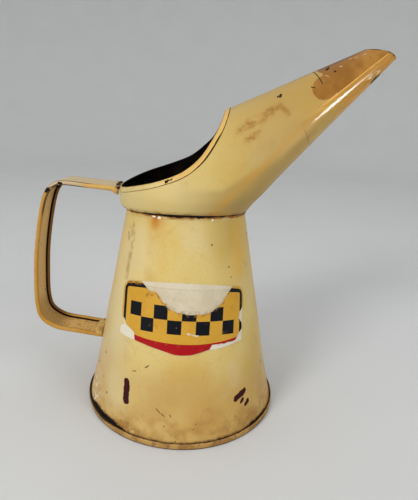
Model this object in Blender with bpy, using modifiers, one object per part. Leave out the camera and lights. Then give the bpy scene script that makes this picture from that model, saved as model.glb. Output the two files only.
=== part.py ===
"""Sheet-metal oil pouring jug: tapered body, hooded spout and strap handle.

Metres, +Z up. The origin is the centre of the base on the surface that the jug stands on.
The spout points along +X, the handle along -X, and the label faces -Y.
"""
from math import atan2, cos, hypot, pi, radians, sin, sqrt

import bmesh
import bpy
from mathutils import Vector

# Sheet and fits
SHEET = 0.0006
GAP = 0.0003
ROUND_STEPS = 64

# Base plate with its folded rim
RIM_RADIUS = 0.0665
RIM_HEIGHT = 0.0040
RIM_WIDTH = 0.0015
RIM_ROUND = 0.0004

# Tapered body: radius at the floor, loss of radius per metre of height, plain top edge
FOOT_RADIUS = 0.0647
TAPER = 0.1955
BODY_BOTTOM = SHEET + GAP
BODY_TOP = 0.1430

# Hood collar: its lower edge is curled in against the body, the tighter the lower CURL_POWER is
COLLAR_RADIUS = 0.0430
COLLAR_EDGE_Z = 0.1360
COLLAR_EDGE_RADIUS = 0.0393
CURL_HEIGHT = 0.0072
CURL_POWER = 0.62
COLLAR_BACK_TOP = (-COLLAR_RADIUS, 0.1475)
CURL_RINGS = 6

# Spout, in side view (x, z): a cone between the throat and the tip
BELLY_START = (0.0428, 0.1410)
FAN_FRONT = (0.0445, 0.1429)
THROAT_BELLY = (0.0569, 0.1572)
THROAT_CREST = (0.0255, 0.1989)
THROAT_HALF_WIDTH = 0.0300
TIP_LIP = (0.1183, 0.2279)
TIP_CREST = (0.1002, 0.2328)
TIP_HALF_WIDTH = 0.0090
TIP_BULGE = 0.0016
HOOD_BACK_GUIDE = (-0.0380, 0.1680)
NARROWING = 1.2
SQUARENESS = 0.2
FAN_RINGS = 11
CONE_RINGS = 7
RING_POINTS = 48

# Filling mouth, in side view; its far side stands a little higher
MOUTH_LINE = (
    (-0.0470, 0.1480),
    (-0.0300, 0.1540),
    (-0.0140, 0.1586),
    (0.0000, 0.1650),
    (0.0100, 0.1737),
    (0.0170, 0.1843),
    (0.0220, 0.1933),
    (0.0275, 0.2030),
)
MOUTH_ROLL = radians(2.5)
MOUTH_STEPS = 3
HEM_WIDTH = 0.0038
CUTTER_HALF_DEPTH = 0.0600
CUTTER_CORNERS = ((0.0380, 0.2350), (-0.0700, 0.2350), (-0.0700, 0.1480))

# Solder ring under the collar
SOLDER_GIRTH = 0.0010
SOLDER_DROP = 0.0021

# Strap handle, outer line in side view from the collar round to the body
HANDLE_LINE = (
    (-0.0443, 0.1491),
    (-0.0615, 0.1503),
    (-0.0785, 0.1515),
    (-0.0862, 0.1490),
    (-0.0916, 0.1427),
    (-0.0958, 0.1288),
    (-0.1002, 0.1046),
    (-0.1021, 0.0820),
    (-0.1023, 0.0637),
    (-0.0990, 0.0531),
    (-0.0887, 0.0467),
    (-0.0725, 0.0444),
    (-0.0570, 0.0426),
)
HANDLE_STEPS = 3
STRAP_WIDTH = 0.0240
BEAD_RADIUS = 0.0015
BEAD_TURN = radians(285.0)
BEAD_POINTS = 7
WIRE_RADIUS = BEAD_RADIUS - SHEET - GAP

# Solder blocks at the two ends of the strap
BLOCK_WIDTH = 0.0150
BLOCK_LENGTH = 0.0034
BLOCK_HEIGHT = 0.0031
BLOCK_ROUND = 0.0009
TOP_BLOCK_CENTRE = (-0.0460, 0.0, 0.1467)
FOOT_BLOCK_CENTRE = (-0.0586, 0.0, 0.0453)

# Paper label on the front of the body
LABEL_WIDTH = 0.0860
LABEL_HEIGHT = 0.0440
LABEL_THICKNESS = 0.0003
LABEL_BEARING = radians(3.5)
LABEL_MIDDLE_Z = 0.0785
LABEL_COLUMNS = 24
LABEL_ROWS = 6

CREAM_PAINT = (0.70, 0.56, 0.25)
OLD_SOLDER = (0.42, 0.30, 0.16)
STEEL = (0.45, 0.44, 0.42)
AMBER_PAPER = (0.78, 0.50, 0.10)


def clear_scene():
    for thing in list(bpy.data.objects):
        bpy.data.objects.remove(thing, do_unlink=True)


def collection(name):
    made = bpy.data.collections.new(name)
    bpy.context.scene.collection.children.link(made)
    return made


def material(name, colour, roughness, metallic):
    made = bpy.data.materials.new(name)
    made.use_nodes = True
    shader = made.node_tree.nodes["Principled BSDF"]
    shader.inputs["Base Color"].default_value = (*colour, 1.0)
    shader.inputs["Roughness"].default_value = roughness
    shader.inputs["Metallic"].default_value = metallic
    return made


def add_part(name, data, finish):
    """One named sub-part in the object's collection."""
    part = bpy.data.objects.new(name, data)
    data.materials.append(finish)
    PARTS.objects.link(part)
    return part


def add_guide(name, data):
    """A cutter or a section that shapes parts and is no part itself."""
    guide = bpy.data.objects.new(name, data)
    guide.hide_render = True
    guide.display_type = "WIRE"
    GUIDES.objects.link(guide)
    return guide


def smooth_path(points, steps):
    """Points of a Catmull-Rom curve through the given ones."""
    path = []
    last = len(points) - 1
    for i in range(last):
        a = Vector(points[max(i - 1, 0)])
        b = Vector(points[i])
        c = Vector(points[i + 1])
        d = Vector(points[min(i + 2, last)])
        for k in range(steps):
            t = k / steps
            bend = (2 * a - 5 * b + 4 * c - d) * t * t + (3 * b - a - 3 * c + d) * t ** 3
            path.append(b + ((c - a) * t + bend) / 2)
    path.append(Vector(points[last]))
    return path


def offset_path(path, distance):
    """The path moved sideways, to the right of its direction."""
    moved = []
    for i, point in enumerate(path):
        along = path[min(i + 1, len(path) - 1)] - path[max(i - 1, 0)]
        moved.append(point + Vector((along.y, -along.x)).normalized() * distance)
    return moved


def between(a, b, t):
    return (a[0] + (b[0] - a[0]) * t, a[1] + (b[1] - a[1]) * t)


def body_radius(z):
    return FOOT_RADIUS - TAPER * z


def poly_spline(curve, points, cyclic):
    spline = curve.splines.new("POLY")
    spline.points.add(len(points) - 1)
    for target, point in zip(spline.points, points):
        target.co = (*point, 1.0)
    spline.use_cyclic_u = cyclic
    return spline


def turned(name, profile, closed, finish):
    """A profile (radius, z), listed down its outer side, turned about Z."""
    mesh = bpy.data.meshes.new(name)
    count = len(profile)
    edges = [(i, i + 1) for i in range(count - 1)]
    if closed:
        edges.append((count - 1, 0))
    mesh.from_pydata([(r, 0.0, z) for r, z in profile], edges, [])
    part = add_part(name, mesh, finish)
    screw = part.modifiers.new("turn", "SCREW")
    screw.axis = "Z"
    screw.steps = ROUND_STEPS
    screw.render_steps = ROUND_STEPS
    screw.use_merge_vertices = True
    screw.merge_threshold = 0.00005
    screw.use_smooth_shade = True
    return part


def prism(name, outline):
    """A cutter: an outline in side view, run right through across the jug and rolled like the mouth."""
    curve = bpy.data.curves.new(name, "CURVE")
    curve.dimensions = "2D"
    curve.fill_mode = "BOTH"
    curve.extrude = CUTTER_HALF_DEPTH
    poly_spline(curve, [(p[0], p[1], 0.0) for p in outline], True)
    sketch = bpy.data.objects.new(name, curve)
    sketch.rotation_euler = (pi / 2 + MOUTH_ROLL, 0.0, 0.0)
    GUIDES.objects.link(sketch)
    bpy.context.view_layer.update()
    evaluated = sketch.evaluated_get(bpy.context.evaluated_depsgraph_get())
    solid = bpy.data.meshes.new_from_object(evaluated)
    mesh = bmesh.new()
    mesh.from_mesh(solid)
    bmesh.ops.remove_doubles(mesh, verts=mesh.verts, dist=0.00001)
    bmesh.ops.recalc_face_normals(mesh, faces=mesh.faces)
    mesh.to_mesh(solid)
    mesh.free()
    cutter = add_guide(name + "_solid", solid)
    cutter.matrix_world = sketch.matrix_world.copy()
    bpy.data.objects.remove(sketch, do_unlink=True)
    return cutter


def cut(part, cutter, operation):
    boolean = part.modifiers.new(operation.lower(), "BOOLEAN")
    boolean.operation = operation
    boolean.object = cutter
    boolean.solver = "EXACT"


def make_base_plate():
    inner = RIM_RADIUS - RIM_WIDTH
    profile = [
        (0.0, SHEET),
        (inner, SHEET),
        (inner, RIM_HEIGHT - RIM_ROUND),
        (inner + RIM_ROUND, RIM_HEIGHT),
        (RIM_RADIUS - RIM_ROUND, RIM_HEIGHT),
        (RIM_RADIUS, RIM_HEIGHT - RIM_ROUND),
        (RIM_RADIUS, RIM_ROUND),
        (RIM_RADIUS - RIM_ROUND, 0.0),
        (0.0, 0.0),
    ]
    return turned("base_plate", profile, False, PAINT)


def make_body_cone():
    profile = [
        (body_radius(BODY_TOP), BODY_TOP),
        (body_radius(BODY_BOTTOM), BODY_BOTTOM),
        (body_radius(BODY_BOTTOM) - SHEET, BODY_BOTTOM),
        (body_radius(BODY_TOP) - SHEET, BODY_TOP),
    ]
    return turned("body_cone", profile, True, PAINT)


def hood_sections():
    """(front, back, half width, squareness) of each ring, from the collar's edge to the tip."""
    sections = []
    for i in range(CURL_RINGS):
        turn = i / (CURL_RINGS - 1)
        out = sin(turn * pi / 2) ** CURL_POWER
        rise = 1 - max(cos(turn * pi / 2), 0.0) ** CURL_POWER
        radius = COLLAR_EDGE_RADIUS + (COLLAR_RADIUS - COLLAR_EDGE_RADIUS) * out
        back = (-radius, COLLAR_EDGE_Z + CURL_HEIGHT * rise)
        front = between((COLLAR_EDGE_RADIUS, COLLAR_EDGE_Z), BELLY_START, turn)
        sections.append((front, back, radius, 0.0))
    for i in range(FAN_RINGS):
        u = i / (FAN_RINGS - 1)
        front = between(FAN_FRONT, THROAT_BELLY, u)
        rise = between(COLLAR_BACK_TOP, HOOD_BACK_GUIDE, u)
        back = between(rise, between(HOOD_BACK_GUIDE, THROAT_CREST, u), u)
        width = COLLAR_RADIUS + (THROAT_HALF_WIDTH - COLLAR_RADIUS) * u ** NARROWING
        sections.append((front, back, width, SQUARENESS * sin(pi * u)))
    for i in range(1, CONE_RINGS):
        v = i / (CONE_RINGS - 1)
        width = THROAT_HALF_WIDTH + (TIP_HALF_WIDTH - THROAT_HALF_WIDTH) * v
        front = between(THROAT_BELLY, TIP_LIP, v)
        sections.append((front, between(THROAT_CREST, TIP_CREST, v), width, 0.0))
    return sections


def hood_ring(section, bulge):
    """Points round one section; the sides of the last one run on a little past its plane."""
    front, back, width, squareness = section
    power = 2 / (2 + squareness)
    along = Vector(between(THROAT_BELLY, THROAT_CREST, 0.5))
    along = (Vector(between(TIP_LIP, TIP_CREST, 0.5)) - along).normalized()
    points = []
    for i in range(RING_POINTS):
        angle = 2 * pi * i / RING_POINTS
        across = abs(sin(angle)) ** power * (1 if angle < pi else -1)
        forward = abs(cos(angle)) ** power * (1 if cos(angle) > 0 else -1)
        x, z = between(back, front, (1 + forward) / 2)
        reach = bulge * sin(angle) ** 2
        points.append((x + along.x * reach, width * across, z + along.y * reach))
    return points


def hood_surface(name):
    """The hood's outer skin: a loft from the round collar to the slanted tip."""
    sections = hood_sections()
    mesh = bmesh.new()
    rings = []
    for i, section in enumerate(sections):
        bulge = TIP_BULGE if i == len(sections) - 1 else 0.0
        rings.append([mesh.verts.new(p) for p in hood_ring(section, bulge)])
    for low, high in zip(rings, rings[1:]):
        for i in range(RING_POINTS):
            j = (i + 1) % RING_POINTS
            mesh.faces.new((low[i], low[j], high[j], high[i]))
    skin = bpy.data.meshes.new(name)
    mesh.to_mesh(skin)
    mesh.free()
    skin.shade_smooth()
    return skin


def make_hood_spout():
    part = add_part("hood_spout", hood_surface("hood_spout"), PAINT)
    sheet = part.modifiers.new("sheet", "SOLIDIFY")
    sheet.thickness = SHEET
    sheet.offset = -1.0
    line = smooth_path(MOUTH_LINE, MOUTH_STEPS)
    cut(part, prism("mouth_cutter", line + [Vector(c) for c in CUTTER_CORNERS]), "DIFFERENCE")
    return part


def make_mouth_hem():
    """The doubled edge round the mouth: a strip of sheet against the outside of the hood."""
    part = add_part("mouth_hem", hood_surface("mouth_hem"), PAINT)
    lift = part.modifiers.new("lift", "DISPLACE")
    lift.strength = GAP
    lift.mid_level = 0.0
    sheet = part.modifiers.new("sheet", "SOLIDIFY")
    sheet.thickness = SHEET
    sheet.offset = 1.0
    line = smooth_path(MOUTH_LINE, MOUTH_STEPS)
    band = line + list(reversed(offset_path(line, HEM_WIDTH)))
    cut(part, prism("hem_cutter", band), "INTERSECT")
    return part


def make_neck_solder():
    top = COLLAR_EDGE_Z - GAP
    bottom = top - SOLDER_DROP
    clear = GAP * sqrt(1 + TAPER ** 2)
    profile = [
        (body_radius(top) + clear, top),
        (body_radius(top) + clear + SOLDER_GIRTH, top),
        (body_radius(bottom) + clear + SOLDER_GIRTH / 2, bottom + SOLDER_DROP / 4),
        (body_radius(bottom) + clear, bottom),
    ]
    return turned("neck_solder", profile, True, SOLDER)


def strap_section():
    """Half-open beads rolled inward on both edges of a flat web; x is the width, y points out."""
    centre = STRAP_WIDTH / 2 - BEAD_RADIUS
    outer = []
    inner = []
    for i in range(BEAD_POINTS):
        angle = pi / 2 - BEAD_TURN * i / (BEAD_POINTS - 1)
        for radius, line in ((BEAD_RADIUS, outer), (BEAD_RADIUS - SHEET, inner)):
            line.append((centre + radius * cos(angle), radius * sin(angle) - BEAD_RADIUS))
    right = outer + inner[::-1]
    left = [(-x, y) for x, y in reversed(right)]
    return right + left


def handle_path():
    return [(p.x, 0.0, p.y) for p in smooth_path(HANDLE_LINE, HANDLE_STEPS)]


def make_handle_strap():
    outline = bpy.data.curves.new("strap_section", "CURVE")
    outline.dimensions = "2D"
    poly_spline(outline, [(x, y, 0.0) for x, y in strap_section()], True)
    section = add_guide("strap_section", outline)
    curve = bpy.data.curves.new("handle_strap", "CURVE")
    curve.dimensions = "3D"
    curve.bevel_mode = "OBJECT"
    curve.bevel_object = section
    curve.use_fill_caps = True
    poly_spline(curve, handle_path(), False)
    return add_part("handle_strap", curve, PAINT)


def make_handle_wire(name, side):
    """The wire inside one rolled edge of the strap."""
    line = [Vector((x, z)) for x, _, z in handle_path()]
    route = offset_path(line, -BEAD_RADIUS)
    across = side * (STRAP_WIDTH / 2 - BEAD_RADIUS)
    curve = bpy.data.curves.new(name, "CURVE")
    curve.dimensions = "3D"
    curve.bevel_depth = WIRE_RADIUS
    curve.bevel_resolution = 1
    curve.use_fill_caps = True
    poly_spline(curve, [(p.x, across, p.y) for p in route], False)
    return add_part(name, curve, WIRE)


def make_solder_block(name, centre):
    mesh = bmesh.new()
    bmesh.ops.create_cube(mesh, size=1.0)
    bmesh.ops.scale(mesh, vec=(BLOCK_LENGTH, BLOCK_WIDTH, BLOCK_HEIGHT), verts=mesh.verts)
    data = bpy.data.meshes.new(name)
    mesh.to_mesh(data)
    mesh.free()
    part = add_part(name, data, SOLDER)
    part.location = centre
    soft = part.modifiers.new("soft_edges", "BEVEL")
    soft.width = BLOCK_ROUND
    soft.segments = 2
    return part


def on_cone(across, up):
    """A point of the flat label, wrapped without stretch round the cone of the body."""
    slant = sqrt(1 + TAPER ** 2)
    apex = FOOT_RADIUS / TAPER
    middle = (apex - LABEL_MIDDLE_Z) * slant
    reach = hypot(across, middle - up)
    bearing = LABEL_BEARING + atan2(across, middle - up) * slant / TAPER
    z = apex - reach / slant
    radius = body_radius(z) + GAP * slant
    return (radius * sin(bearing), -radius * cos(bearing), z)


def make_label():
    mesh = bmesh.new()
    bmesh.ops.create_grid(mesh, x_segments=LABEL_COLUMNS, y_segments=LABEL_ROWS, size=0.5)
    for vert in mesh.verts:
        vert.co = on_cone(vert.co.x * LABEL_WIDTH, vert.co.y * LABEL_HEIGHT)
    data = bpy.data.meshes.new("label")
    mesh.to_mesh(data)
    mesh.free()
    data.shade_smooth()
    part = add_part("label", data, PAPER)
    paper = part.modifiers.new("paper", "SOLIDIFY")
    paper.thickness = LABEL_THICKNESS
    paper.offset = 1.0
    return part


clear_scene()
PARTS = collection("pouring_jug")
GUIDES = collection("cutters")
PAINT = material("cream_paint", CREAM_PAINT, 0.35, 0.0)
SOLDER = material("old_solder", OLD_SOLDER, 0.60, 0.4)
WIRE = material("edge_wire", STEEL, 0.45, 1.0)
PAPER = material("label_paper", AMBER_PAPER, 0.55, 0.0)

make_base_plate()
make_body_cone()
make_hood_spout()
make_mouth_hem()
make_neck_solder()
make_handle_strap()
make_handle_wire("handle_wire_left", 1)
make_handle_wire("handle_wire_right", -1)
make_solder_block("handle_top_solder", TOP_BLOCK_CENTRE)
make_solder_block("handle_foot_solder", FOOT_BLOCK_CENTRE)
make_label()
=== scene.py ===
"""Looks of the oil pouring jug: worn cream enamel on soldered sheet metal, with a torn paper label.

Metres, +Z up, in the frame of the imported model: spout along +X, handle along -X, label facing -Y.
Marks on the body are placed by bearing, in degrees from -Y towards +X, and by height.
Marks on the spout are placed, as seen from the side, by (along, over): how far along its middle
line from the throat, and how far over that line.
Marks on the label are placed on its flat pattern by (across, up) from its middle.
"""
from math import atan2, cos, hypot, pi, radians, sin, sqrt, tan

import bmesh
import bpy
import numpy as np
from mathutils import Matrix, Vector, noise
from mathutils.bvhtree import BVHTree


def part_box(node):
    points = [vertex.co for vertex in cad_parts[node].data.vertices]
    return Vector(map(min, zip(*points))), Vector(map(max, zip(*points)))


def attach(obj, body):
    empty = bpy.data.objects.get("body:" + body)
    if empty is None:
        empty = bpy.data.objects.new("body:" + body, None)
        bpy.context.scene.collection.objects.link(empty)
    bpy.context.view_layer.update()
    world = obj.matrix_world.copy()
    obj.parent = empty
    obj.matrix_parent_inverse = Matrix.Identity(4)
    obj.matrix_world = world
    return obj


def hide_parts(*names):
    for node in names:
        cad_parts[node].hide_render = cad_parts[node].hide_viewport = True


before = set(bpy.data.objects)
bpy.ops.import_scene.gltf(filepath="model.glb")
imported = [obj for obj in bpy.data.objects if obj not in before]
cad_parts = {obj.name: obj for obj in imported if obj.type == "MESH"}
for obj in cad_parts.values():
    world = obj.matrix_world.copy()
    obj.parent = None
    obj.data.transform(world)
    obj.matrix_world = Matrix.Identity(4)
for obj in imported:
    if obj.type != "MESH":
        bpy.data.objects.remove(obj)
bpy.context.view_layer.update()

# Sheet, base and body
SHEET = 0.0006
RIM_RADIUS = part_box("base_plate")[1].x
RIM_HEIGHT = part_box("base_plate")[1].z
RIM_WIDTH = 0.0015
RIM_ROUND = 0.0006
RIM_TUCK = 0.0001
RIM_SIDE = ((0.0, 0.0022), (0.00012, 0.0012))
RIM_WAVES = ((0.00018, 60.0), (0.00010, 210.0))
FOOT_RADIUS = 0.0647
TAPER = 0.1955
BODY_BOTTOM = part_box("body_cone")[0].z
BODY_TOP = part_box("body_cone")[1].z
ROUND_STEPS = 240
BODY_ROWS = 72
FLARE = 0.0013
FLARE_FADE = 0.010
DENT_DEPTH = 0.00022
DENT_SCALE = 38.0
DENT_FADE = 0.012
DENT_TOP = 0.134
SEAM_BOTTOM = 0.0050
SEAM_TOP = 0.1345
SEAM_WIDTH = 0.0056
SEAM_HEIGHT = 0.0007
SEAM_SINK = 0.0002
SEAM_SQUARE = 0.35
SEAM_STEPS = 60

# Hood, collar and spout
COLLAR_RADIUS = 0.0430
COLLAR_EDGE_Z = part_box("hood_spout")[0].z
COLLAR_EDGE_RADIUS = 0.0393
CURL_HEIGHT = 0.0072
CURL_POWER = 0.62
NECK_LIFT = 0.0026
NECK_FADE = 0.0150
NECK_DROP = 0.0034
COLLAR_BACK_TOP = (-COLLAR_RADIUS, 0.1475)
BELLY_START = (0.0428, 0.1410)
FAN_FRONT = (0.0445, 0.1429)
THROAT_BELLY = (0.0569, 0.1572)
THROAT_CREST = (0.0255, 0.1989)
THROAT_HALF_WIDTH = 0.0300
TIP_LIP = (0.1183, 0.2279)
TIP_CREST = (0.1002, 0.2328)
TIP_HALF_WIDTH = 0.0090
TIP_BULGE = 0.0016
HOOD_BACK_GUIDE = (-0.0380, 0.1680)
NARROWING = 1.2
SQUARENESS = 0.2
FOLD_SHARE = (1 + cos(radians(78.0))) / 2
FOLD_DEPTH = 0.40
FOLD_START = 0.20
FOLD_RUN = 0.55
COLLAR_RINGS = 9
WALL_RINGS = 5
FAN_RINGS = 60
SPOUT_RINGS = 90
TIP_RINGS = 20
HOOD_POINTS = 180
SMOOTHING = 8

# Filling mouth and its hem
MOUTH_LINE = (
    (-0.0470, 0.1481), (-0.0300, 0.1541), (-0.0140, 0.1591), (0.0000, 0.1650), (0.0100, 0.1734),
    (0.0170, 0.1829), (0.0205, 0.1908), (0.0222, 0.1962), (0.0238, 0.2030),
)
MOUTH_ROLL = radians(3.2)
ROLL_FADE = (0.010, 0.017)
MOUTH_MIDDLE = (-0.0080, 0.0)
HEM_WIDTH = 0.0030
HEM_TOP = 0.0005
HEM_PROUD = 0.00025
HEM_STEPS = 320
HEM_LEG_START = 0.0011
HEM_LEG_MIDDLE = 0.0021
HEM_SLACK = 0.00015
HEM_EDGE = 0.0001
HEM_INNER_LEG = (0.0005, 0.0007, 0.0009)

# Strap handle
HANDLE_LINE = (
    (-0.0443, 0.1491), (-0.0615, 0.1503), (-0.0785, 0.1515), (-0.0862, 0.1490), (-0.0916, 0.1427),
    (-0.0958, 0.1288), (-0.1002, 0.1046), (-0.1021, 0.0820), (-0.1023, 0.0637), (-0.0990, 0.0531),
    (-0.0887, 0.0467), (-0.0725, 0.0444), (-0.0570, 0.0426),
)
HANDLE_STEPS = 14
STRAP_WIDTH = 0.0240
BEAD_RADIUS = 0.0015
BEAD_TURN = radians(285.0)
BEAD_STEPS = 16
WEB_STEPS = 6
STRAP_GAP = 0.0003
HOOK_START = 0.0088
HOOK_LINE = (
    (-0.0490, 0.1480), (-0.0466, 0.1477), (-0.0449, 0.1468), (-0.0442, 0.1456), (-0.0445, 0.1446),
)
HOOK_THICK = 1.10
HOOK_SWELL = 0.28
HOOK_TAPER = 0.75

# Solder under the collar
NECK_RISE = 0.0004
NECK_THICK = 0.0011
NECK_HOLLOW = 1.4
NECK_CLEAR = 0.00002
NECK_SINK = 0.0001
NECK_SWELL = 0.0004
NECK_LUMPS = ((0.5, 130.0), (0.3, 420.0))

# Lumps of solder at the strap's ends: centre and radii
LUMP_SQUARE = 0.8
LUMP_COARSE = (0.20, 2.3)
LUMP_FINE = (0.10, 6.0)
TOP_SOLDER = (
    ((-0.0458, -0.0055, 0.1470), (0.0019, 0.0034, 0.0014)),
    ((-0.0460, 0.0000, 0.1468), (0.0021, 0.0036, 0.0016)),
    ((-0.0459, 0.0055, 0.1470), (0.0019, 0.0034, 0.0014)),
    ((-0.0441, -0.0062, 0.1497), (0.0009, 0.0010, 0.0009)),
    ((-0.0438, -0.0030, 0.1499), (0.0008, 0.0009, 0.0012)),
    ((-0.0442, 0.0045, 0.1497), (0.0010, 0.0016, 0.0008)),
)
FOOT_SOLDER = (
    ((-0.0580, -0.0088, 0.0448), (0.0030, 0.0028, 0.0018)),
    ((-0.0586, -0.0045, 0.0452), (0.0036, 0.0032, 0.0023)),
    ((-0.0584, 0.0005, 0.0452), (0.0032, 0.0034, 0.0021)),
    ((-0.0586, 0.0052, 0.0452), (0.0036, 0.0032, 0.0023)),
    ((-0.0580, 0.0090, 0.0448), (0.0030, 0.0028, 0.0018)),
)

# Paper label on the front of the body
LABEL_WIDTH = 0.0860
LABEL_HEIGHT = 0.0440
LABEL_BEARING = radians(3.5)
LABEL_MIDDLE_Z = 0.0785
LABEL_TILT = radians(-1.2)
LABEL_CELL = 0.0005
LABEL_MARGIN = (0.012, 0.008)
PAPER_LIFT = 0.0003
PAPER_CURL = 0.00005
PAPER_DEPTH = 0.00025
PRINT_LIFT = 0.0005
PRINT_CURL = 0.00035
PRINT_DEPTH = 0.00018
CURL_SCALE = 130.0
CURL_REACH = 0.0014
TUCK = 0.0007
CARD_CENTRE = 0.0004
CARD_HALF = 0.0416
CARD_TOP = 0.0216
CARD_DROP = 1.70
CARD_CORNER = 0.0050
PAPER_LEFT = (
    (-0.0286, -0.0168), (-0.0368, -0.0155), (-0.0430, -0.0140), (-0.0428, -0.0104), (-0.0390, -0.0080),
    (-0.0407, -0.0029), (-0.0405, 0.0000),
)
PAPER_RIGHT = (
    (0.0414, -0.0144), (0.0418, -0.0110), (0.0415, -0.0050), (0.0412, 0.0000), (0.0420, 0.0035),
)
PAPER_LOW = (
    (-0.0286, -0.0164), (-0.0134, -0.0194), (-0.0040, -0.0215), (0.0010, -0.0219), (0.0060, -0.0215),
    (0.0178, -0.0182), (0.0196, -0.0184), (0.0269, -0.0174), (0.0414, -0.0144),
)
PRINT_LEFT = (
    (-0.0285, -0.0170), (-0.0294, -0.0147), (-0.0297, -0.0118), (-0.0322, -0.0101), (-0.0372, -0.0078),
    (-0.0388, -0.0047), (-0.0450, -0.0010),
)
PRINT_RIGHT = (
    (0.0360, -0.0134), (0.0385, -0.0095), (0.0406, -0.0075), (0.0410, -0.0053), (0.0403, -0.0030),
    (0.0377, -0.0003), (0.0386, 0.0035), (0.0412, 0.0066), (0.0430, 0.0080),
)
PRINT_LOW = (
    (-0.0290, -0.0161), (-0.0134, -0.0191), (-0.0040, -0.0212), (0.0010, -0.0216), (0.0060, -0.0212),
    (0.0176, -0.0178), (0.0190, -0.0152), (0.0337, -0.0139), (0.0382, -0.0124),
)
TEAR_WAVES = ((0.0005, 0.0, 420.0), (0.0003, 0.4, 1300.0))
TEAR_STEEP = 0.6
TORN_FOOT = 0.0170
TEAR_MIDDLE = 0.0060
TEAR_LOW = 0.0033
TEAR_RISE = 0.0118
TEAR_HALF = 0.0220
STRIP_LOW = 0.0163
STRIP_SLOPE = 0.05
STRIP_LEFT = -0.0205
STRIP_RIGHT = 0.0298
STRIP_FLARE = 1.1
CHECK_SIZE = 0.0085
CHECK_MIDDLE = -0.0008
FOOT_TOP = -0.0150
FOOT_BOW = 2.45
FRAME_INSET = 0.0023
FRAME_HALF = 0.0011
FRAME_TOP_EXTRA = 0.0004

# Camera, fitted to the photograph's perspective
IMAGE_WIDTH = 418
IMAGE_HEIGHT = 500
FOCAL_PIXELS = 434.12
PRINCIPAL_POINT = (186.21, 250.76)
CAMERA_DISTANCE = 0.28173
CAMERA_HEIGHT = 0.19193
CAMERA_BEARING = radians(4.0)
CAMERA_PITCH = radians(-17.0005)
CAMERA_ROLL = radians(1.8938)
CAMERA_YAW = radians(0.1991)

# Stage: a round floor that bends up into a wall, and lamps (name, place, target, size, watts, degrees)
FLOOR_RINGS = (0.4, 0.9, 1.5)
FLOOR_BEND = 0.9
FLOOR_STEPS = 96
WALL_TOP = 2.4
SKY = (0.95, 0.97, 1.0, 1.0)
SKY_STRENGTH = 0.85
LAMPS = (
    ("key", (-1.05, -1.40, 0.95), (0.0, 0.0, 0.12), (0.6, 0.6), 9.0, 120.0),
    ("fill", (1.20, -0.90, 0.80), (0.0, 0.0, 0.10), (0.6, 0.6), 2.6, 120.0),
    ("low_strip", (0.590, -0.162, 0.043), (0.085, -0.015, 0.204), (0.11, 0.05), 0.012, 16.0),
)


# Small geometry helpers

def between(a, b, t):
    return (a[0] + (b[0] - a[0]) * t, a[1] + (b[1] - a[1]) * t)


def smooth_path(points, steps):
    """Points of a Catmull-Rom curve through the given ones."""
    path = []
    last = len(points) - 1
    for i in range(last):
        a = Vector(points[max(i - 1, 0)])
        b = Vector(points[i])
        c = Vector(points[i + 1])
        d = Vector(points[min(i + 2, last)])
        for k in range(steps):
            t = k / steps
            bend = (2 * a - 5 * b + 4 * c - d) * t * t + (3 * b - a - 3 * c + d) * t ** 3
            path.append(b + ((c - a) * t + bend) / 2)
    path.append(Vector(points[last]))
    return path


def heading(path, i):
    """The direction of a path at its point i."""
    return (path[min(i + 1, len(path) - 1)] - path[max(i - 1, 0)]).normalized()


def body_radius(z):
    return FOOT_RADIUS - TAPER * z


def neck_lift(y, radius):
    """How far the collar's edge stands up at front and back, where the round seam was scribed."""
    return NECK_LIFT * (y / radius) ** 2


def rough(x, y, z, scale):
    """Smooth noise between about -1 and 1, the same on every run."""
    return noise.noise(Vector((x, y, z)) * scale)


def grid_faces(rows, columns, wrap_rows, wrap_columns):
    """Quads of a grid of points listed row by row."""
    faces = []
    for i in range(rows if wrap_rows else rows - 1):
        k = (i + 1) % rows
        for j in range(columns if wrap_columns else columns - 1):
            m = (j + 1) % columns
            faces.append((i * columns + j, i * columns + m, k * columns + m, k * columns + j))
    return faces


def capped_faces(rows, columns):
    """Faces of a closed section carried along a path, with both ends filled."""
    last = (rows - 1) * columns
    ends = [tuple(reversed(range(columns))), tuple(range(last, last + columns))]
    return grid_faces(rows, columns, False, True) + ends


def join(*meshes):
    """One list of points and one of faces from several (points, faces)."""
    points = []
    faces = []
    for more_points, more_faces in meshes:
        faces += [tuple(i + len(points) for i in face) for face in more_faces]
        points += list(more_points)
    return points, faces


def add_piece(name, points, faces, material, replaced=(), weld=False):
    """A smooth mesh piece in the model's frame that rides with the jug."""
    mesh = bpy.data.meshes.new(name)
    mesh.from_pydata([tuple(p) for p in points], [], faces)
    if weld:
        shell = bmesh.new()
        shell.from_mesh(mesh)
        bmesh.ops.remove_doubles(shell, verts=shell.verts, dist=1e-7)
        loose = [edge for edge in shell.edges if not edge.link_faces]
        bmesh.ops.delete(shell, geom=loose, context="EDGES")
        shell.to_mesh(mesh)
        shell.free()
    mesh.validate()
    mesh.shade_smooth()
    piece = bpy.data.objects.new(name, mesh)
    mesh.materials.append(material)
    bpy.context.scene.collection.objects.link(piece)
    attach(piece, "root")
    if replaced:
        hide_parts(*replaced)
    return piece


def thicken(piece, thickness):
    """Gives a skin the thickness of its sheet, inward."""
    sheet = piece.modifiers.new("sheet", "SOLIDIFY")
    sheet.thickness = thickness
    sheet.offset = -1.0
    return sheet


def line_inside(piece, material, is_inside):
    """Gives the faces that look into the jug a finish of their own."""
    piece.data.materials.append(material)
    for face in piece.data.polygons:
        if is_inside(face):
            face.material_index = 1


def note_places(piece, places):
    """Keeps three numbers with each point of a piece, for its finish to read."""
    kept = piece.data.attributes.new("place", "FLOAT_VECTOR", "POINT")
    kept.data.foreach_set("vector", np.array(places, dtype=float).reshape(-1))


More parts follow.
